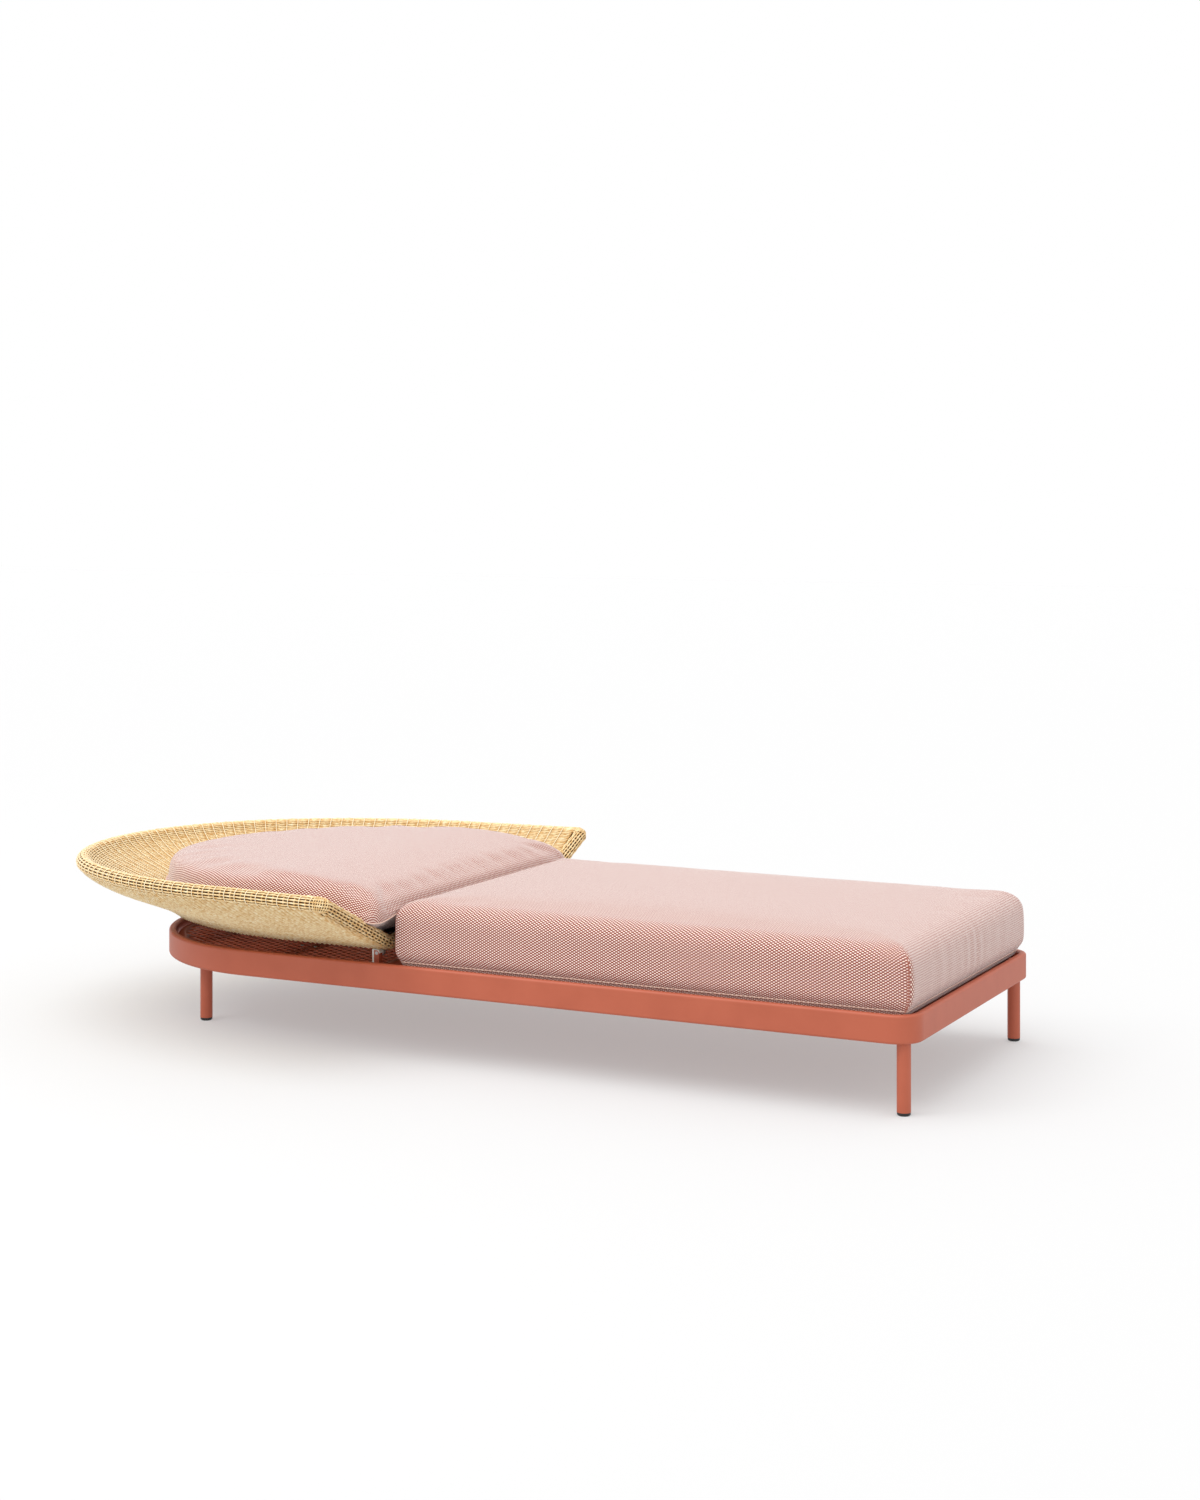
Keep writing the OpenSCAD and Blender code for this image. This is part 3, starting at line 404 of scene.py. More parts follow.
def strands(name, lines, radius, sides, material, closed=False, shade=None, spread=TONE_SPREAD):
    """Round strands along lines of points in millimetres, each in its own tone, lighter or darker by its
    shade values: painted highlight and shade.
    """
    mesh = bpy.data.meshes.new(name)
    points = np.concatenate(lines) * MM
    edges = []
    tones = []
    start = 0
    for number, line in enumerate(lines):
        n = len(line)
        edges += [(start + k, start + k + 1) for k in range(n - 1)]
        if closed:
            edges.append((start + n - 1, start))
        own = 0.5 + spread * (tone_source.random() - 0.5)
        # The shade values add painted highlight and painted shade along each strand.
        tones += list(own + shade[number]) if shade else [own] * n
        start += n
    mesh.from_pydata([tuple(p) for p in points], edges, [])
    mesh.attributes.new("tone", "FLOAT", "POINT").data.foreach_set("value", np.array(tones, np.float32))
    values = {"Strand radius": radius * MM, "Sides": sides, "Material": material}
    return run_tree(new_object(name, mesh), strand_nodes, values)


def lengths(points):
    """Distance of each point from the first, along the line."""
    return np.concatenate([[0], np.cumsum(np.linalg.norm(np.diff(points, axis=0), axis=1))])


def unit(rows):
    """The rows, each at length 1."""
    return rows / np.linalg.norm(rows, axis=1, keepdims=True)


def girth(points):
    """Length of a closed line."""
    return lengths(np.vstack([points, points[:1]]))[-1]


def resampled(points, count, closed=False):
    """So many points at equal distances along the line."""
    line = np.vstack([points, points[:1]]) if closed else points
    along = lengths(line)
    wanted = np.linspace(0, along[-1], count + 1)[:-1] if closed else np.linspace(0, along[-1], count)
    return np.stack([np.interp(wanted, along, line[:, k]) for k in range(3)], -1)


def arc(x, y, r, start, end, count):
    """Points of an arc in plan from one angle to another, both in quarter turns."""
    return [(x + r * math.cos(a), y + r * math.sin(a)) for a in np.linspace(start, end, count) * math.pi / 2]


def band(first, second, sides):
    """Faces between two closed rings of points, by the number of each ring's first point."""
    return [(first + k, first + (k + 1) % sides, second + (k + 1) % sides, second + k) for k in range(sides)]


# Outline of the shell. A place along it is g: 0 at the near front corner, 1 at the near side's widest place,
# 2 at the head tip, 3 at the far side's widest place and 4 at the far front corner
def half_oval(cx, a, b, r, turn):
    """Point of a half oval whose side arc runs on into its tip arc with one tangent."""
    side = (a * a + b * b - 2 * a * r) / (2 * (b - r))
    change = math.atan2(a - r, side - b)
    on_side = turn < change
    x = np.where(on_side, cx - side * np.sin(turn), cx - (a - r) - r * np.sin(turn))
    y = np.where(on_side, b - side * (1 - np.cos(turn)), r * np.cos(turn))
    return x, y


def rim_and_belly(g):
    """Points of the rim and the belly's edge at the places g, and their turn round the head, 0 to 1."""
    g = np.asarray(g, float)
    side = np.where(g <= 2, -1.0, 1.0)
    q = np.where(g <= 2, g, 4 - g)
    turn = np.clip(q - 1, 0, 1) * math.pi / 2
    start_x = FRONT_X - ROLL_R

    def line(wide_x, length, half, tip_r, flare):
        x, y = half_oval(wide_x, length, half, tip_r, turn)
        straight_x = start_x + (wide_x - start_x) * np.minimum(q, 1)
        straight_y = half + flare * (straight_x - wide_x) / (FRONT_X - wide_x)
        return np.stack([np.where(q < 1, straight_x, x), side * np.where(q < 1, straight_y, y)], -1)

    rim = line(RIM_WIDE_X, RIM_LEN, RIM_HALF, RIM_TIP_R, RIM_FLARE)
    belly = line(BELLY_WIDE_X, BELLY_LEN, BELLY_HALF, BELLY_TIP_R, 0)
    return rim, belly, turn / (math.pi / 2)


def places_along(points):
    """Places g of the rim points next to the given ones."""
    table = np.linspace(0, 4, 8001)
    rim, _, _ = rim_and_belly(table)
    return np.array([table[np.argmin(((rim - p[:2]) ** 2).sum(axis=1))] for p in points])


def under_z(u, turned):
    """Height of the wall's underside at the share u of the way from belly to rim."""
    full = FLARE_FULL * min(1, turned * 2)
    return BELLY_Z + RIM_RISE * (u + full * u * (1 - u) * (1 - FLARE_BACK * u))


def wall_section(width, turned):
    """Outline of the wall, out from the rim and up, and the lengths to the rim's top and to its far side."""
    inside_end = ROLL_R * 1.37
    reach = 0.57 * ROLL_R
    brim_from = 120
    brim_to = -50
    brim_step = 5
    sample = 2.0
    window = 7
    u = np.linspace(0, 1 - inside_end / width, 40)
    swell = WALL_SWELL * (np.maximum(u - SWELL_FROM, 0) / (1 - SWELL_FROM)) ** 2
    inside = np.column_stack([(u - 1) * width, under_z(u, turned) + WALL + swell])
    arc = np.radians(np.linspace(brim_from, brim_to, 1 + (brim_from - brim_to) // brim_step))
    brim = np.column_stack([ROLL_R * np.cos(arc), RIM_Z + ROLL_R * np.sin(arc)])
    u = np.linspace(1 + reach / width, 0, 60)
    lift = RIM_Z - math.sqrt(ROLL_R ** 2 - reach ** 2) - under_z(u[0], turned)
    ease = np.maximum(u - LIFT_FROM, 0) / (u[0] - LIFT_FROM)
    below = np.column_stack([(u - 1) * width, under_z(u, turned) + lift * ease ** 2])
    line = np.vstack([inside, brim, below])
    along = lengths(line)
    top = along[len(inside) + (brim_from - 90) // brim_step]
    far = along[len(inside) + len(brim)] + reach
    even = np.column_stack([np.interp(np.arange(0, along[-1], sample), along, line[:, k]) for k in (0, 1)])
    padded = np.pad(even, ((window // 2, window // 2), (0, 0)), mode="reflect", reflect_type="odd")
    smooth = sum(padded[k:k + len(even)] for k in range(window)) / window
    return smooth, top, far


def wall_rows(places, inner_rows, outer_rows):
    """Points and normals of the wall's rows at the places: inside up to the rim's top, and the underside."""
    rim, belly, turned = rim_and_belly(places)
    inner = []
    outer = []
    for k in range(len(places)):
        width = np.linalg.norm(rim[k] - belly[k])
        out = (rim[k] - belly[k]) / width
        line, top, far = wall_section(width, turned[k])
        along = lengths(line)
        slope = unit(np.gradient(line, axis=0))
        normal = np.column_stack([-slope[:, 1], slope[:, 0]])
        for start, end, count, rows in ((0, top, inner_rows, inner), (far, along[-1], outer_rows, outer)):
            wanted = np.linspace(start, end, count)
            s, z, ns, nz = [np.interp(wanted, along, column) for column in (*line.T, *normal.T)]
            point = np.column_stack([rim[k][0] + out[0] * s, rim[k][1] + out[1] * s, z])
            rows.append((point, np.column_stack([out[0] * ns, out[1] * ns, nz])))
    return [(np.array([p for p, _ in rows]), np.array([n for _, n in rows])) for rows in (inner, outer)]


def edge_loop():
    """Centre line of the roll round the whole shell, its four bends rounded, at quarter stake steps."""
    fine_step = 3.0
    window = 9
    rim, _, _ = rim_and_belly(np.linspace(4, 0, 800))
    arc = np.column_stack([rim, np.full(len(rim), float(RIM_Z))])
    front = np.array([
        [FRONT_X, -CORNER_Y, RIM_Z], [FRONT_X, -FRONT_KINK_Y, FRONT_LOW_Z],
        [FRONT_X, FRONT_KINK_Y, FRONT_LOW_Z], [FRONT_X, CORNER_Y, RIM_Z]], float)
    raw = np.vstack([arc, front])
    fine = resampled(raw, int(girth(raw) / fine_step), closed=True)
    smooth = sum(np.roll(fine, k, axis=0) for k in range(-(window // 2), window // 2 + 1)) / window
    return resampled(smooth, 4 * round(girth(smooth) / STAKE_STEP), closed=True)


def roll_frames(loop):
    """Outward and upward directions of the roll's section along the loop."""
    heading = unit(np.roll(loop, -1, axis=0) - np.roll(loop, 1, axis=0))
    outward = unit(np.cross(heading, [0, 0, 1.0]))
    return outward, np.cross(outward, heading)


def around(loop, outward, upward, angle, height):
    """Points beside the loop at an angle of its section and a distance from its middle."""
    angle = np.asarray(angle)[..., None]
    height = np.asarray(height)[..., None]
    return loop + height * (np.cos(angle) * outward + np.sin(angle) * upward)


def sleeve(name, rings, material):
    """Closed tube skin through rings of points."""
    sides = len(rings[0])
    faces = []
    for j in range(len(rings)):
        faces += band(j * sides, (j + 1) % len(rings) * sides, sides)
    return solid(name, np.concatenate(rings), faces, material)


def rows_under_front(loop, outward, upward, crossing):
    """Rows of strand under the front roll with their painted highlight and shade, lowest in its middle,
    higher at the corners.
    """
    middle_depth = 15
    side_depth = 12.6
    corner_rise = 7
    corner_from = 0.65
    closeness = 0.91
    share = np.clip((np.abs(loop[:, 1]) - BELLY_HALF) / (CORNER_Y - BELLY_HALF), 0, 1)
    rise = corner_rise * np.maximum(share - corner_from, 0) / (1 - corner_from)
    depth = np.maximum(ROLL_R, (middle_depth + side_depth * share - rise) * closeness) - ROLL_STRAND_R
    rows = []
    for number, inwards in enumerate((2, 8.5, 15)):
        phase = crossing if number % 2 else -crossing
        row = loop - outward * inwards - upward * (depth + WAVE * phase)[:, None]
        rows.append((row, CROSSING_PAINTED_LIGHT * phase))
    return rows


def roll_weave(loop, outward, upward, on_rim):
    """Rows of strand round the shell's edge that wave over every second stake, and the stakes across them."""
    overlap = 4
    front_inset = 10
    outer_half = math.radians(80)
    nestled = 0.6
    n = len(loop)
    first = int(np.argmax(on_rim))
    last = n - 1 - int(np.argmax(on_rim[::-1]))
    front = [k % n for k in range(last - overlap, n + first + overlap)]
    middle = ROLL_R - ROLL_STRAND_R
    crossing = -np.cos(np.arange(n) * math.pi / 2)
    plain = np.where(on_rim, crossing, -crossing)
    round_rows = []
    front_rows = []
    for k in range(ROLL_ROWS):
        turn = k if k <= ROLL_ROWS / 2 else k - ROLL_ROWS
        angle = 2 * math.pi * turn / ROLL_ROWS
        phase = plain if turn % 2 else crossing
        row = around(loop, outward, upward, np.full(n, angle), middle + WAVE * phase)
        # Painted highlight where the row crosses over a stake, painted shade where it dips under one.
        light = CROSSING_PAINTED_LIGHT * phase
        if abs(angle) < outer_half:
            round_rows.append((row, light))
        else:
            front_rows.append((row[front], light[front]))
    short = front[front_inset:-front_inset]
    under_rows = rows_under_front(loop, outward, upward, crossing)
    front_rows += [(row[short], light[short]) for row, light in under_rows]

    def bow(k, angles, height):
        return around(loop[k], outward[k], upward[k], angles, np.full(len(angles), height))

    full = np.linspace(0, 2 * math.pi, 20, endpoint=False)
    arc = np.radians(np.linspace(86, -66, 10))
    section = np.arange(16) * math.pi / 8
    in_front = set(front)
    under = middle + WAVE - ROLL_STRAND_R + nestled - UNDER_STAKE_R
    unders = [bow(k, full, under) for k in range(0, n, 2) if k in in_front and (k % 4 == 2 or not on_rim[k])]
    arcs = [bow(k, arc, under) for k in range(2, n, 4) if on_rim[k] and k not in in_front]
    core = [bow(k, section, TUBE_R + CORE_GAP) for k in range(0, n, 2)]
    for name, rows, closed, node in (
            ("edge_roll_weave", round_rows, True, "rim_roll"),
            ("front_roll_weave", front_rows, False, "front_roll")):
        lines, light = zip(*rows)
        weave = strands(name, lines, ROLL_STRAND_R, MORE_SIDES, straw, closed=closed, shade=light)
        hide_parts(node)
        belong("back", "wicker", weave)
    # The edge roll's core sleeve is dark brown as painted shade between the strands.
    belong("back", "wicker",
           strands("front_roll_under_stakes", unders, UNDER_STAKE_R, FEW_SIDES, straw, closed=True),
           strands("edge_roll_under_stakes", arcs, UNDER_STAKE_R, FEW_SIDES, straw),
           sleeve("edge_roll_core", core, core_painted_shade),
           corner_wraps(loop, outward, upward))
    tube = sleeve("edge_tube", [bow(k, section, TUBE_R) for k in range(0, n, 2)], satin_aluminium)
    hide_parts("rim_tube", "front_tube")
    belong("back", "bare_metal", tube)


def corner_wraps(loop, outward, upward):
    """Binding of a few turns round each front corner of the rim."""
    turns = 7
    pitch = 2.6
    strand_r = 1.25
    height = ROLL_R - 0.2
    angles = np.linspace(0, 2 * math.pi, 18, endpoint=False)
    lines = []
    for side in (-1, 1):
        corner = np.array([FRONT_X, side * CORNER_Y, RIM_Z])
        k = int(np.argmin(np.linalg.norm(loop - corner, axis=1)))
        for turn in range(turns):
            past = (turn - (turns - 1) / 2) * pitch / LOOP_STEP
            j = k + math.floor(past)
            share = past - math.floor(past)
            a = j % len(loop)
            b = (j + 1) % len(loop)
            middle, out, up = [(1 - share) * rows[a] + share * rows[b] for rows in (loop, outward, upward)]
            lines.append(around(middle, out, up, angles, np.full(len(angles), height)))
    return strands("edge_corner_wraps", lines, strand_r, MORE_SIDES, straw, closed=True)


def flare_weave(loop, on_rim):
    """Both faces of the shell's wall: rows along the rim, and pale stakes from the belly over the rim."""
    past_ends = 0.028
    slope_length = 300
    index = np.flatnonzero(on_rim)
    g = places_along(loop[index])
    g = np.concatenate([[g[0] + past_ends], g, [g[-1] - past_ends]])
    index = np.concatenate([[index[0] - 1], index, [index[-1] + 1]])
    inner_rows = round(slope_length / INNER_PITCH)
    outer_rows = round(slope_length / OUTER_PITCH)
    (inner, inner_up), (outer, outer_up) = wall_rows(g, inner_rows, outer_rows)
    crossing = -np.cos(index * math.pi / 2)
    dip = -FACE_DEPTH + WAVE * crossing
    inner_lines = [inner[:, j] + inner_up[:, j] * dip[:, None] for j in range(inner_rows)]
    ribs = np.cos(index * math.pi)
    ridge = -FACE_DEPTH + RIDGE * ribs
    outer_lines = [outer[:, j] + outer_up[:, j] * ridge[:, None] for j in range(outer_rows)]
    half_in = inner_rows // 2
    half_out = outer_rows // 2
    pieces = []
    # The rows carry painted highlight on their raised crossings and ridge tops, and painted shade in the dips
    # between.
    for name, lines, light, spread in (
            ("inner_weave", inner_lines[half_in:], CROSSING_PAINTED_LIGHT * crossing, TONE_SPREAD),
            ("inner_weave_low", inner_lines[:half_in], CROSSING_PAINTED_LIGHT * crossing, TONE_SPREAD),
            ("outer_weave", outer_lines[:half_out], RIB_PAINTED_LIGHT * ribs, UNDER_SPREAD),
            ("outer_weave_low", outer_lines[half_out:], RIB_PAINTED_LIGHT * ribs, UNDER_SPREAD)):
        shade = [light] * len(lines)
        pieces.append(strands(name, lines, STRAND_R, FEW_SIDES, straw, shade=shade, spread=spread))
    outward, upward = roll_frames(loop)
    arc = np.radians(np.linspace(78, -62, 10))
    stakes = []
    for row, k in enumerate(index):
        if k % 4 == 0 and on_rim[k % len(loop)]:
            brim = around(loop[k], outward[k], upward[k], arc, np.full(len(arc), ROLL_R - STAKE_SINK))
            stakes.append(np.vstack([inner[row] - inner_up[row] * STAKE_SINK, brim]))
    pieces.append(strands("inner_stakes", stakes, STAKE_R, FEW_SIDES, pale_straw))
    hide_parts("inner_skin")
    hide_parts("outer_skin")
    belong("back", "wicker", *pieces)


def weave_core():
    """Closed inner layer of the wall in dark painted shade, seen only in the slots between the strands."""
    columns = 121
    rings = 12
    past_front = 0.03
    g = np.linspace(4 + past_front, -past_front, columns)
    (inner, inner_up), (outer, outer_up) = wall_rows(g, rings, rings)
    section = np.concatenate([inner - inner_up * CORE_DEPTH, outer - outer_up * CORE_DEPTH], axis=1)
    m = section.shape[1]

    def at(c, j):
        return c * m + j

    faces = []
    for c in range(columns - 1):
        faces += [(at(c, j), at(c + 1, j), at(c + 1, j + 1), at(c, j + 1)) for j in range(m - 1)]
    last = columns - 1
    for c in range(columns // 2):
        for j in (0, m - 1):
            faces.append(tuple(dict.fromkeys([at(c, j), at(c + 1, j), at(last - c - 1, j), at(last - c, j)])))
    faces.append(tuple([at(0, j) for j in range(m)] + [at(last, j) for j in range(m - 1, -1, -1)]))
    core = solid("weave_core", section.reshape(-1, 3), faces, core_painted_shade)
    belong("back", "wicker", core)


def belly_weave():
    """Straight weave under the flat belly, left open round the lugs and the brackets."""
    sample = STAKE_STEP / 2
    sink = 2.9
    wave = 0.5
    edge_gap = 1
    end_gap = 3
    side_gap = 1.5
    spans = []
    for node, opening in (("hinge_lugs", 16), ("stay_brackets", 32)):
        low, high = box(node)
        outer = high[1] + side_gap
        spans.append((low[0] - end_gap, high[0] + end_gap, outer - opening, outer))
    lines = []
    _, belly, _ = rim_and_belly(np.linspace(0, 2, 400))
    tip = belly[:, 0].min()
    x = FRONT_X - ROLL_R
    row = 0
    while x > tip + INNER_PITCH:
        half = np.interp(x, belly[::-1, 0], -belly[::-1, 1]) - edge_gap
        ys = np.arange(-int(half / sample) * sample, half, sample)
        z = BELLY_Z + sink + wave * np.where((np.round(ys / sample).astype(int) + row) % 2, 1.0, -1.0)
        line = np.column_stack([np.full(len(ys), x), ys, z])
        blocked = np.zeros(len(ys), bool)
        for x0, x1, y0, y1 in spans:
            if x0 < x < x1:
                blocked |= (np.abs(ys) > y0) & (np.abs(ys) < y1)
        cuts = np.flatnonzero(np.diff(blocked.astype(int))) + 1
        parts = zip(np.split(line, cuts), np.split(blocked, cuts))
        lines += [part for part, flags in parts if not flags[0] and len(part) > 1]
        x -= INNER_PITCH
        row += 1
    weave = strands("belly_weave", lines, STRAND_R, FEW_SIDES, straw)
    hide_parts("belly_panel")
    belong("back", "wicker", weave)


def perforation_tree():
    """Tree that cuts a round hole through a sheet at each vertex of another object."""
    tree, given, out = node_tree("perforated_sheet", [
        ("Places", "Object"), ("Hole diameter", "Float"), ("Sides", "Int"), ("Depth", "Float"),
        ("Material", "Material")])
    places = add(tree, "GeometryNodeObjectInfo", {"Object": given["Places"]})
    radius = add(tree, "ShaderNodeMath", {0: given["Hole diameter"], 1: 0.5}, operation="MULTIPLY")
    punch = add(tree, "GeometryNodeMeshCylinder", {
        "Vertices": given["Sides"], "Radius": radius.outputs[0], "Depth": given["Depth"]})
    copies = add(tree, "GeometryNodeInstanceOnPoints", {
        "Points": places.outputs["Geometry"], "Instance": punch.outputs["Mesh"]})
    real = add(tree, "GeometryNodeRealizeInstances", {0: copies.outputs[0]})
    cut = add(tree, "GeometryNodeMeshBoolean", {"Mesh 1": given["Geometry"], "Mesh 2": real.outputs[0]},
              operation="DIFFERENCE", solver="MANIFOLD")
    painted = add(tree, "GeometryNodeSetMaterial", {
        "Geometry": cut.outputs["Mesh"], "Material": given["Material"]})
    tree.links.new(painted.outputs[0], out["Geometry"])
    return tree


def deck_outline(node):
    """Outline of a deck sheet: a half circle at the head end, or two round corners at the foot."""
    (x0, _, _), (x1, half, _) = box(node)
    if node == "deck_head":
        return [(x1, half)] + arc(x0 + half, 0, half, 1, 3, 49) + [(x1, -half)]
    r = DECK_CORNER_R
    corners = arc(x1 - r, r - half, r, -1, 0, 9) + arc(x1 - r, half - r, r, 0, 1, 9)
    return [(x0, -half)] + corners + [(x0, half)]


def inside_by(point, outline, margin):
    """Whether a point is inside a convex outline by at least a margin."""
    edges = zip(outline, outline[1:] + outline[:1])
    signs = []
    for (ax, ay), (bx, by) in edges:
        size = math.hypot(bx - ax, by - ay)
        if size > 0:
            signs.append(((bx - ax) * (point[1] - ay) - (by - ay) * (point[0] - ax)) / size)
    return min(signs) > margin or max(signs) < -margin


def deck():
    """Perforated sheets of the deck, with round holes in the triangular pattern of punched sheet."""
    tree = perforation_tree()
    punch_depth = 12
    step = HOLE_PITCH * math.cos(math.pi / 6)
    for node, sides in (("deck_seat", 8), ("deck_head", 16)):
        (x0, _, z0), (x1, half, z1) = box(node)
        outline = deck_outline(node)
        n = len(outline)
        points = [(x, y, z) for z in (z0, z1) for x, y in outline]
        faces = [tuple(range(n - 1, -1, -1)), tuple(range(n, 2 * n))] + band(0, n, n)
        sheet = solid(node + "_sheet", points, faces)
        per_row = int(half / HOLE_PITCH) + 1
        holes = []
        for i in range(math.ceil(x0 / step), math.floor(x1 / step) + 1):
            for j in range(-per_row, per_row + 1):
                place = (i * step, (j + (i % 2) / 2) * HOLE_PITCH)
                if inside_by(place, outline, DECK_BORDER):
                    holes.append((*place, (z0 + z1) / 2))
        places = mesh_object("places", holes, [])
        run_tree(sheet, tree, {
            "Places": places, "Hole diameter": HOLE_D * MM, "Sides": sides, "Depth": punch_depth * MM,
            "Material": paint})
        bpy.data.objects.remove(places)
        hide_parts(node)
        belong("base", "painted_frame", sheet)


def turned_piece(name, profile, places, material, sides=16):
    """Turned pieces at the places, from a profile of radius and height that starts and ends on the axis."""
    points = []
    faces = []
    for x, y, z in places:
        start = len(points)
        for r, h in profile:
            points += [(*place, z + h) for place in arc(x, y, r, 0, 4, sides + 1)[:-1]]
        for j in range(len(profile) - 1):
            faces += band(start + j * sides, start + (j + 1) * sides, sides)
    return solid(name, points, faces, material)


def deck_screws():
    """Two pan-head screws on each side that hold the deck sheet down, with their drive recess."""
    profile = [(0, -1), (4.2, -1), (4.2, 1.2), (3.4, 2.3), (1.8, 2.7), (1.6, 1.1), (0, 1.1)]
    top = box("deck_head")[1][2]
    from_foot = ((1636, 228), (1597, 230))
    places = [(FOOT_X - back, side * across, top) for side in (-1, 1) for back, across in from_foot]
    screws = turned_piece("deck_screws", profile, places, turned_steel)
    belong("base", "pin_steel", screws)


def set_cut(work, faces_uv):
    """Writes the flat cut, in metres, as the UV map named cut."""
    layer = work.loops.layers.uv.new("cut")
    for face, coordinates in faces_uv:
        for loop, place in zip(face.loops, coordinates):
            loop[layer].uv = (place[0] * MM, place[1] * MM)


def cloth_cover(name, work):
    """Cover in dotted cloth from a finished bmesh."""
    mesh = bpy.data.meshes.new(name)
    work.to_mesh(mesh)
    work.free()
    return new_object(name, mesh, cloth)


def puff(cover, pinned_below, cap):
    """Cloth simulation of the filled cover: pressure inside, its bottom held, no point moved past the cap."""
    last_frame = 20
    tiny = 1e-9
    rest = np.array([v.co for v in cover.data.vertices], float)
    group = cover.vertex_groups.new(name="held")
    held = [i for i, p in enumerate(rest) if p[2] < pinned_below * MM]
    group.add(held, 1.0, "REPLACE")
    modifier = cover.modifiers.new("cloth", "CLOTH")
    settings = set_all(
        modifier.settings, use_pressure=True, uniform_pressure_force=4, vertex_group_mass="held", mass=0.3,
        quality=5, bending_stiffness=0.2, shrink_min=-0.012)
    settings.effector_weights.gravity = 0
    modifier.collision_settings.use_collision = False
    scene = bpy.context.scene
    for number in range(1, last_frame + 1):
        scene.frame_set(number)
    graph = bpy.context.evaluated_depsgraph_get()
    made = cover.evaluated_get(graph).to_mesh()
    moved = np.array([v.co for v in made.vertices], float)
    cover.evaluated_get(graph).to_mesh_clear()
    cover.modifiers.clear()
    cover.vertex_groups.clear()
    step = moved - rest
    size = np.linalg.norm(step, axis=1, keepdims=True)
    limit = cap * MM
    step *= np.where(size > tiny, limit * np.tanh(size / limit) / np.maximum(size, tiny), 0)
    cover.data.vertices.foreach_set("co", (rest + step).ravel().astype(np.float32))
    cover.data.update()
    scene.frame_set(1)


def finish_cushion(cover, node, body, pinned_below, cap):
    """Simulated and subdivided cushion that stands for its CAD solid, which it hides."""
    puff(cover, pinned_below, cap)
    levels = cover.modifiers.new("round", "SUBSURF")
    levels.levels = 1
    levels.render_levels = 1
    smooth_shaded(cover)
    applied(cover)
    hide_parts(node)
    belong(body, "cushion_cloth", cover)


def seam_line(cover, height, step):
    """Closed line round a cover at a height, in millimetres, at even steps."""
    work = bmesh.new()
    work.from_mesh(cover.data)
    parts = work.verts[:] + work.edges[:] + work.faces[:]
    sliced = bmesh.ops.bisect_plane(work, geom=parts, plane_co=(0, 0, height * MM), plane_no=(0, 0, 1))
    points = np.array([part.co for part in sliced["geom_cut"] if isinstance(part, bmesh.types.BMVert)]) / MM
    work.free()
    middle = (points.min(axis=0) + points.max(axis=0)) / 2
    size = points.max(axis=0) - middle
    order = np.argsort(np.arctan2((points[:, 1] - middle[1]) / size[1], (points[:, 0] - middle[0]) / size[0]))
    points = points[order]
    return resampled(points, int(lengths(points)[-1] / step), closed=True)


def upright_seams(cover, lo, hi, bottom, top):
    """Lines down the four upright corners of a boxed cover, just in its surface."""
    inset = 60
    step = 5
    sink = 0.2
    mesh = cover.data
    skin = BVHTree.FromPolygons([v.co for v in mesh.vertices], [p.vertices[:] for p in mesh.polygons])
    lines = []
    for sx, x in ((-1, lo[0] + inset), (1, hi[0] - inset)):
        for sy, y in ((-1, lo[1] + inset), (1, hi[1] - inset)):
            away = Vector((sx, sy, 0)).normalized()
            hits = [skin.ray_cast(Vector((x, y, z)) * MM, away)[0] for z in np.arange(bottom, top, step)]
            lines.append(np.array([hit - away * sink * MM for hit in hits]) / MM)
    return lines


def cells(work, verts, flats, across, along):
    """Four-sided faces of a grid of vertices, each with the flat cut of its corners."""
    made = []
    for i in range(across):
        for j in range(along):
            keys = [(i, j), (i + 1, j), (i + 1, j + 1), (i, j + 1)]
            made.append((work.faces.new([verts[k] for k in keys]), [flats[k] for k in keys]))
    return made


def boxed_faces(work, half):
    """Faces of a box with rounded edges, centred, and the flat cut of their corners."""
    radius = SEAT_ROUND
    counts = [max(4, int(round(2 * h / SEAT_CELL))) for h in half]

    def flat(value, extent):
        over = np.maximum(np.abs(value) - (extent - radius), 0)
        inside = np.minimum(np.abs(value), extent - radius)
        return np.sign(value) * (inside + radius * np.arctan(over / radius))

    def down(z, extent):
        """Flat distance from the middle for a point on a side, down from the top edge."""
        below = half[2] - z
        over = np.maximum(radius - below, 0)
        straight = np.maximum(below - radius, 0)
        return extent - radius + radius * (math.pi / 2 - math.atan(over / radius)) + straight

    def rounded(p):
        limit = half - radius
        inner = np.clip(p, -limit, limit)
        away = p - inner
        plan = (away[0] ** SEAT_SQUARE + away[1] ** SEAT_SQUARE) ** (1 / SEAT_SQUARE)
        return inner + away / math.hypot(plan, away[2]) * radius

    made = []
    for axis in range(3):
        others = [k for k in range(3) if k != axis]
        for side in (-1, 1):
            grids = [np.linspace(-half[k], half[k], counts[k] + 1) for k in others]
            verts = {}
            flats = {}
            for i, a in enumerate(grids[0]):
                for j, b in enumerate(grids[1]):
                    p = np.zeros(3)
                    p[axis] = side * half[axis]
                    p[others[0]] = a
                    p[others[1]] = b
                    verts[i, j] = work.verts.new(rounded(p))
                    flats[i, j] = [
                        side * down(p[2], half[k]) if k == axis else flat(p[k], half[k]) for k in (0, 1)]
            made += cells(work, verts, flats, counts[others[0]], counts[others[1]])
    return made


def foot_fold(y):
    """How far the foot face is folded in or out at a place across it, as a share of the folds' depth."""
    fold = math.sin(2 * math.pi * y / FOLD_PITCH + 2.4 * math.sin(y / 73)) * math.exp(-(y / FOLD_REACH) ** 2)
    return fold * (0.6 + 0.4 * math.sin(y / 37 + 1))


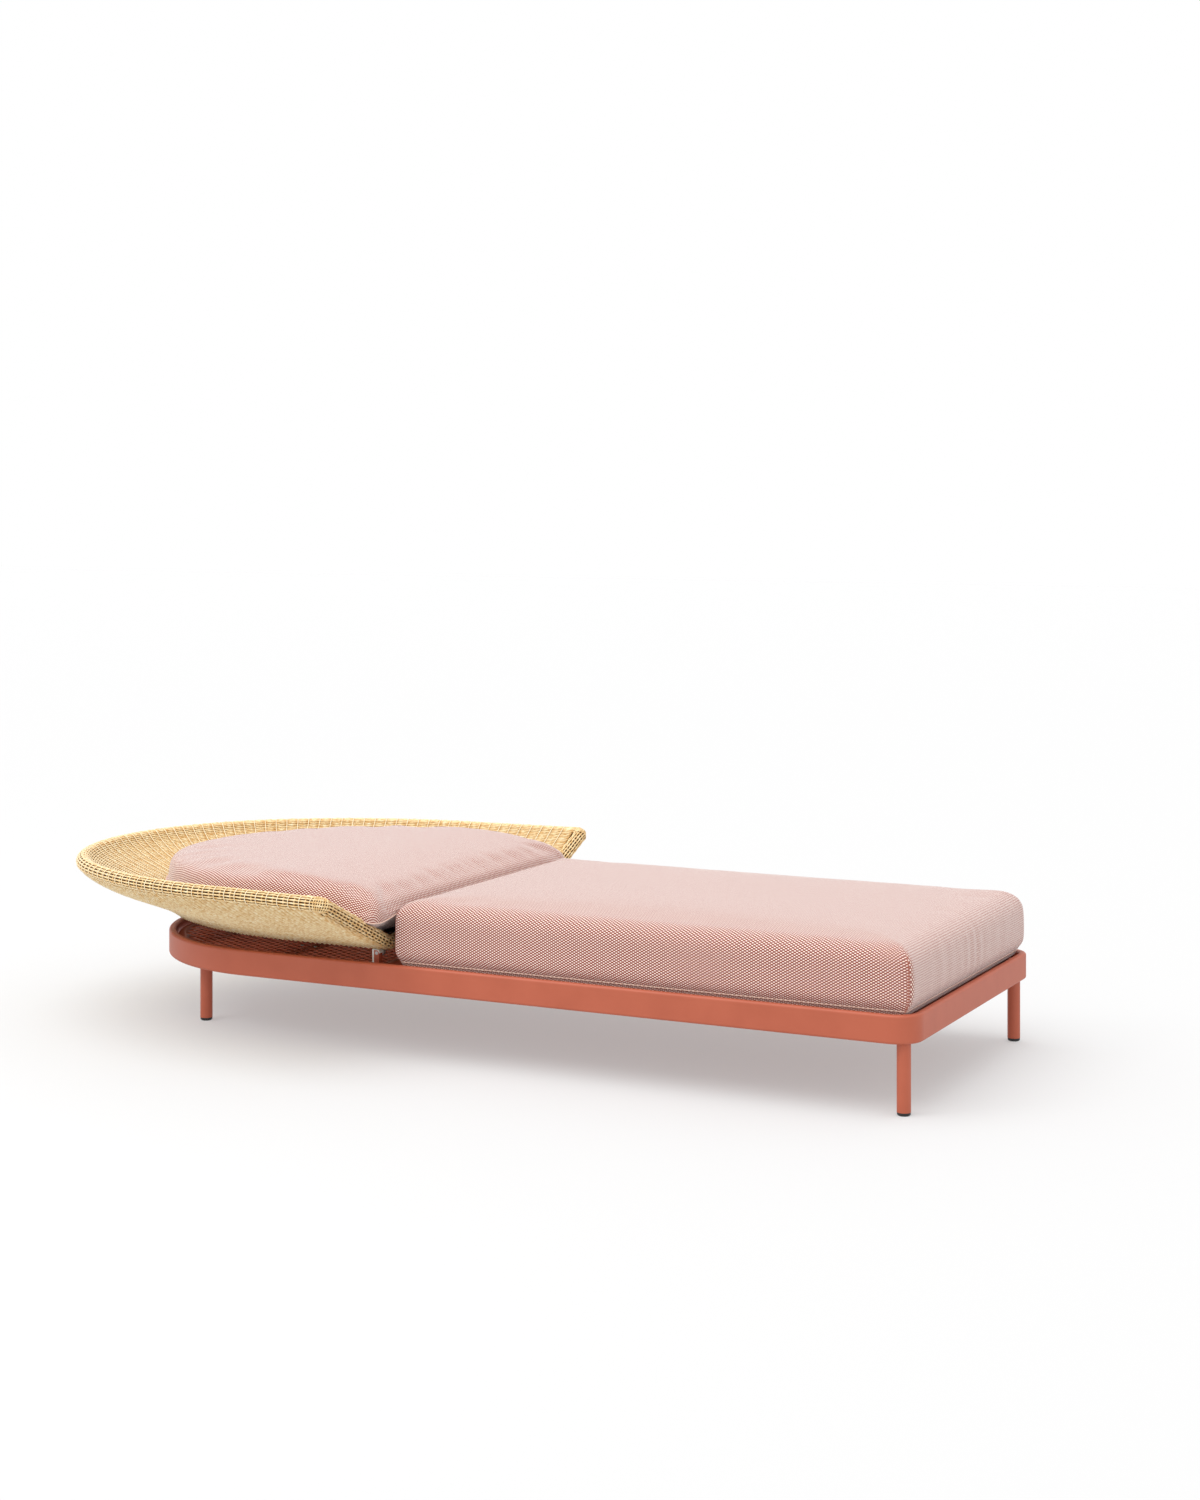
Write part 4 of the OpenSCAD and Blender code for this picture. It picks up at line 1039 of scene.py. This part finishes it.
def seat_cushion():
    """Boxed seat cushion: rounded over its edges, crowned, and drawn in where it sits in the ring."""
    above_ring = 22
    crown_power = 4
    foot_power = 12
    below_box = 2
    lo, hi = box("seat_cushion")
    lo[0] -= SEAT_PRESS
    ring_top = box("rail_near")[1][2]
    crown = hi[2] - SEAT_EDGE_TOP - below_box
    centre = (lo + hi) / 2
    half = (hi - lo) / 2
    half[2] = (SEAT_EDGE_TOP - lo[2]) / 2
    centre[2] = (SEAT_EDGE_TOP + lo[2]) / 2
    work = bmesh.new()
    set_cut(work, boxed_faces(work, half))
    bmesh.ops.remove_doubles(work, verts=work.verts, dist=0.01)
    bmesh.ops.recalc_face_normals(work, faces=work.faces)
    lip = half[1] - SEAT_DRAWN_IN
    for v in work.verts:
        x, y, z = v.co
        height = z + centre[2]
        fx = 1 - (x / half[0]) ** crown_power
        fy = 1 - (y / half[1]) ** crown_power
        if z > 0:
            z += crown * max(0, fx) * max(0, fy) * min(1, z / half[2]) ** 2
        seated = min(1, max(0, (ring_top + above_ring - height) / above_ring))
        narrow = 1 - seated * (1 - lip / half[1])
        narrow_x = 1 - seated * SEAT_DRAWN_IN / half[0]
        on_foot = max(0, x / half[0]) ** foot_power * (1 - (z / half[2]) ** 2)
        x += on_foot * (FOOT_BULGE + FOLD_DEPTH * foot_fold(y))
        v.co = ((x * narrow_x + centre[0]) * MM, (y * narrow + centre[1]) * MM, (z + centre[2]) * MM)
    cover = cloth_cover("seat_cushion_cover", work)
    finish_cushion(cover, "seat_cushion", "base", pinned_below=ring_top - 4, cap=7)
    seam_z = ring_top + 3.5
    lower_seam = seam_line(cover, seam_z, step=6)
    corner_seams = upright_seams(cover, lo, hi, seam_z, SEAT_EDGE_TOP - 12)
    # The corner seams are drawn darker than the cloth: real seams, with painted shade of their folds.
    belong("base", "cushion_cloth",
           strands("seat_cushion_welt", [lower_seam], 1.4, MORE_SIDES, cream, closed=True),
           strands("seat_cushion_corner_seams", corner_seams, 1.0, MORE_SIDES, seam_thread_and_painted_shade))


def pillow_outline(step):
    """D-shaped outline of the head cushion, from the middle of its front round to the middle again."""
    x1, half, _ = box("head_cushion")[1]
    corner = PILLOW_CORNER_R
    g = np.linspace(0, math.pi / 2, 200)
    ox, oy = half_oval(x1 - PILLOW_WIDE_BACK, PILLOW_LEN, half, PILLOW_TIP_R, g)
    front = np.array([[x1, 0], [x1, half - corner]])
    turn = arc(x1 - corner, half - corner, corner, 0, 1, 12)
    side = np.vstack([front, turn[1:], np.column_stack([ox, oy])])
    both = np.vstack([side, np.column_stack([side[::-1, 0], -side[::-1, 1]])[1:-1]])
    flat = np.column_stack([both, np.zeros(len(both))])
    return resampled(flat, 2 * round(girth(flat) / step / 2), closed=True)[:, :2]


def curve_through(points, count):
    """Smooth curve through a few points, as so many points by even parameter."""
    p = np.asarray(points, float)
    p = np.vstack([2 * p[0] - p[1], p, 2 * p[-1] - p[-2]])
    spans = len(p) - 3
    out = []
    for t in np.linspace(0, spans - 1e-9, count):
        k = int(t)
        s = t - k
        a, b, c, d = p[k:k + 4]
        square = (2 * a - 5 * b + 4 * c - d) * s * s
        out.append(0.5 * (2 * b + (c - a) * s + square + (3 * b - a - 3 * c + d) * s ** 3))
    return np.array(out)


def quilt_core(work, edge, flat, height):
    """Even four-sided faces that fill a closed ring of vertices, from the middle of its front on."""
    n = len(edge)
    across = 2 * (n // 6)
    along = n // 2 - across
    start = across // 2
    verts = {}
    place = {}
    for i in range(across + 1):
        for j in range(along + 1):
            on_front = (i - start) % n
            on_back = (-start - along - i) % n
            on_near = (-start - j) % n
            on_far = (start + j) % n
            u = i / across
            v = j / along
            corners = flat[[-start % n, start, (-start - along) % n, start + along]]
            p = (1 - v) * flat[on_front] + v * flat[on_back] + (1 - u) * flat[on_near] + u * flat[on_far]
            p = p - (1 - v) * ((1 - u) * corners[0] + u * corners[1])
            p = p - v * ((1 - u) * corners[2] + u * corners[3])
            place[i, j] = p
            sides = ((j == 0, on_front), (j == along, on_back), (i == 0, on_near), (i == across, on_far))
            ring = [k for hit, k in sides if hit]
            verts[i, j] = edge[ring[0]] if ring else work.verts.new((p[0] * MM, p[1] * MM, height(p[0]) * MM))
    return cells(work, verts, place, across, along)


def outward_of(outline, middle):
    """Outward direction at each point of a closed outline."""
    along = np.roll(outline, -1, axis=0) - np.roll(outline, 1, axis=0)
    outward = unit(np.column_stack([along[:, 1], -along[:, 0]]))
    return -outward if (outward * (outline - middle)).sum() < 0 else outward


def ring_cut(rings, outward, split):
    """Flat cut of the rings: each side's slope is unrolled from its middle, the lower one up to the seam."""
    spans = np.linalg.norm(np.diff(rings, axis=0), axis=2)
    flats = np.linalg.norm(np.diff(rings[..., :2], axis=0), axis=2)
    extra = spans - flats
    slack = np.zeros(rings.shape[:2])
    slack[split:-1] = np.cumsum(extra[:split - 1:-1], axis=0)[::-1]
    slack[1:split] = np.cumsum(extra[:split - 1], axis=0)
    return rings[..., :2] + outward * slack[..., None]


def head_cushion():
    """D-shaped head cushion: a plump upper half over a piped seam, and a lower half that lies in the bowl."""
    outline = pillow_outline(15)
    (back_x, _, z0), (front_x, half, top_z) = box("head_cushion")
    middle = np.array([(back_x + front_x) / 2, 0.0])

    def crown(x):
        back = min(1, (front_x - x) / PILLOW_CROWN_LEN)
        return PILLOW_FRONT_TOP + (top_z - PILLOW_FRONT_TOP) * (1 - (1 - back) ** 2)

    lower = curve_through([
        (CORE_SHARE, 0), (0.67, 0.0), (0.74, 0.02), (0.80, 0.1),
        (0.88, 0.48), (0.935, 0.76), (0.975, 0.93), (1, 1)], 22)
    upper = curve_through([
        (1, 0), (1.0, 0.3), (0.992, 0.62), (0.972, 0.84),
        (0.93, 0.955), (0.85, 1.0), (0.72, 1.0), (CORE_SHARE, 1.0)], 26)
    n = len(outline)
    outward = outward_of(outline, middle)
    corners = [np.linalg.norm(outline - [front_x, side * half], axis=1) for side in (-1, 1)]
    seam_z = PILLOW_SEAM_Z - CORNER_FALL * np.exp(-(np.min(corners, axis=0) / CORNER_REACH) ** 2)
    rings = []
    for s, k in lower:
        rings.append(np.column_stack([middle + (outline - middle) * s, z0 + (seam_z - z0) * k]))
    for s, k in upper[1:]:
        flat = middle + (outline - middle) * s
        tops = np.array([crown(x) for x in flat[:, 0]])
        rings.append(np.column_stack([flat, seam_z + (tops - seam_z) * k]))
    rings = np.array(rings)
    split = len(lower) - 1
    cut = ring_cut(rings, outward, split)
    work = bmesh.new()
    verts = [[work.verts.new(p * MM) for p in ring] for ring in rings]
    made = []
    for j in range(len(rings) - 1):
        for k in range(n):
            m = (k + 1) % n
            keys = [(j, k), (j, m), (j + 1, m), (j + 1, k)]
            made.append((work.faces.new([verts[a][b] for a, b in keys]), [cut[a][b] for a, b in keys]))
    made += quilt_core(work, verts[0], rings[0][:, :2], lambda x: z0)
    made += quilt_core(work, verts[-1], rings[-1][:, :2], crown)
    set_cut(work, made)
    bmesh.ops.recalc_face_normals(work, faces=work.faces)
    cover = cloth_cover("head_cushion_cover", work)
    finish_cushion(cover, "head_cushion", "back", pinned_below=PILLOW_SEAM_Z + 1, cap=8)
    seam = np.array([cover.data.vertices[split * n + k].co for k in range(n)], float) / MM
    seam = seam + np.column_stack([outward * 0.6, np.zeros(n)])
    piping = strands("head_cushion_piping", [seam], 1.3, 8, cream, closed=True)
    belong("back", "cushion_cloth", piping)
    for soft in (cover, piping):
        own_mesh(soft)


def dress_frame():
    """Finishes of the CAD nodes that show as they are."""
    finishes = {
        "painted_frame": paint, "bare_metal": satin_aluminium, "pin_steel": turned_steel,
        "nylon_white": white_nylon, "glide_black": black_polymer, "buffer_rubber": buffer_rubber,
        "wicker": straw, "cushion_cloth": cloth}
    slots = {row["node"]: row["material_slot"] for row in frame["record"]["subparts"]}
    for name, node in frame["nodes"].items():
        finish = straw_coat if name == "back_ribs" else finishes[slots[name]]
        if not node.data.materials:
            node.data.materials.append(finish)
        for k in range(len(node.data.materials)):
            node.data.materials[k] = finish


def studio():
    """Plain pale floor, soft even light from above and a broad key light from the left, and the camera."""
    scene = bpy.context.scene
    bpy.ops.mesh.primitive_plane_add(size=60)
    floor = bpy.context.object
    floor.name = "studio_floor"
    material, _, _ = new_material(
        "pale_floor", 0.9, Base_Color=linear("#a8a8a8"), Emission_Color=linear("#ffffff"),
        Emission_Strength=0.35)
    floor.data.materials.append(material)
    floor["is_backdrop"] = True
    world = bpy.data.worlds.new("studio")
    world.use_nodes = True
    sky = world.node_tree.nodes["Background"]
    sky.inputs["Color"].default_value = (1.0, 1.0, 1.0, 1.0)
    sky.inputs["Strength"].default_value = 1.0
    scene.world = world
    scene.view_settings.view_transform = "Standard"

    key = set_all(bpy.data.lights.new("key", "AREA"), shape="DISK", size=2.2, energy=30)
    key_lamp = new_object("key", key)
    key_lamp.location = (-2.4, -3.4, 3.6)
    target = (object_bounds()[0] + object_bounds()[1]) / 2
    key_lamp.rotation_euler = (target - key_lamp.location).to_track_quat("-Z", "Y").to_euler()
    overhead = set_all(bpy.data.lights.new("overhead", "SUN"), energy=1.75, angle=math.radians(70))
    new_object("overhead", overhead).rotation_euler = (math.radians(14), math.radians(-10), 0)

    camera = set_all(bpy.data.cameras.new("camera"), lens=58.1, shift_y=-0.1676, clip_end=100)
    view = new_object("camera", camera)
    view.location = (1.65385 + FOOT_X * MM, -5.18969, 1.286)
    view.rotation_euler = (math.pi / 2, 0, 0.4632)
    scene.camera = view


tone_source = np.random.default_rng(7)
strand_nodes = strand_tree()
paint = powder_coat()
satin_aluminium = tooled_metal("satin_aluminium", "#b7b7b3", "#c4c4c0", 0.42, 3)
turned_steel = tooled_metal("turned_steel", "#aaaaa8", "#b6b6b4", 0.3, 1.5)
straw_coat = polymer_skin("straw_powder_coat", "#d6bb86", "#e2ca98", 0.5, 1.2)
white_nylon = polymer_skin("white_nylon", "#e9e9e4", "#f4f4f0", 0.45, 1.0)
black_polymer = polymer_skin("black_polyethylene", "#141416", "#1c1c1e", 0.42, 1.2)
buffer_rubber = polymer_skin("black_rubber", "#0f0f10", "#19191a", 0.7, 1.6)
straw = resin_strand("straw_resin_strand", [(0.2, "#d9ab66"), (0.5, "#f4dcab"), (0.8, "#fef4dd")])
pale_straw = resin_strand("pale_resin_stake", [(0.2, "#f2e0b8"), (0.7, "#faeed2")])
# The weave's core is dark brown as painted shade between the strands.
core_painted_shade = shaded_core()
cloth = dotted_cloth()
cream = sewn_cord("cream_piping", "#dcb3a0", "#e9cdbc")
# Corner seam thread, darker than the cloth: a real seam, with painted shade of its fold.
seam_thread_and_painted_shade = sewn_cord("terracotta_seam_thread_and_painted_shade", "#9c4f3c", "#b4705a")

studio()
dress_frame()
edge = edge_loop()
edge_outward, edge_upward = roll_frames(edge)
on_wall = edge[:, 0] < FRONT_X - ROLL_R - 1
roll_weave(edge, edge_outward, edge_upward, on_wall)
flare_weave(edge, on_wall)
weave_core()
belly_weave()
deck()
deck_screws()
seat_cushion()
head_cushion()
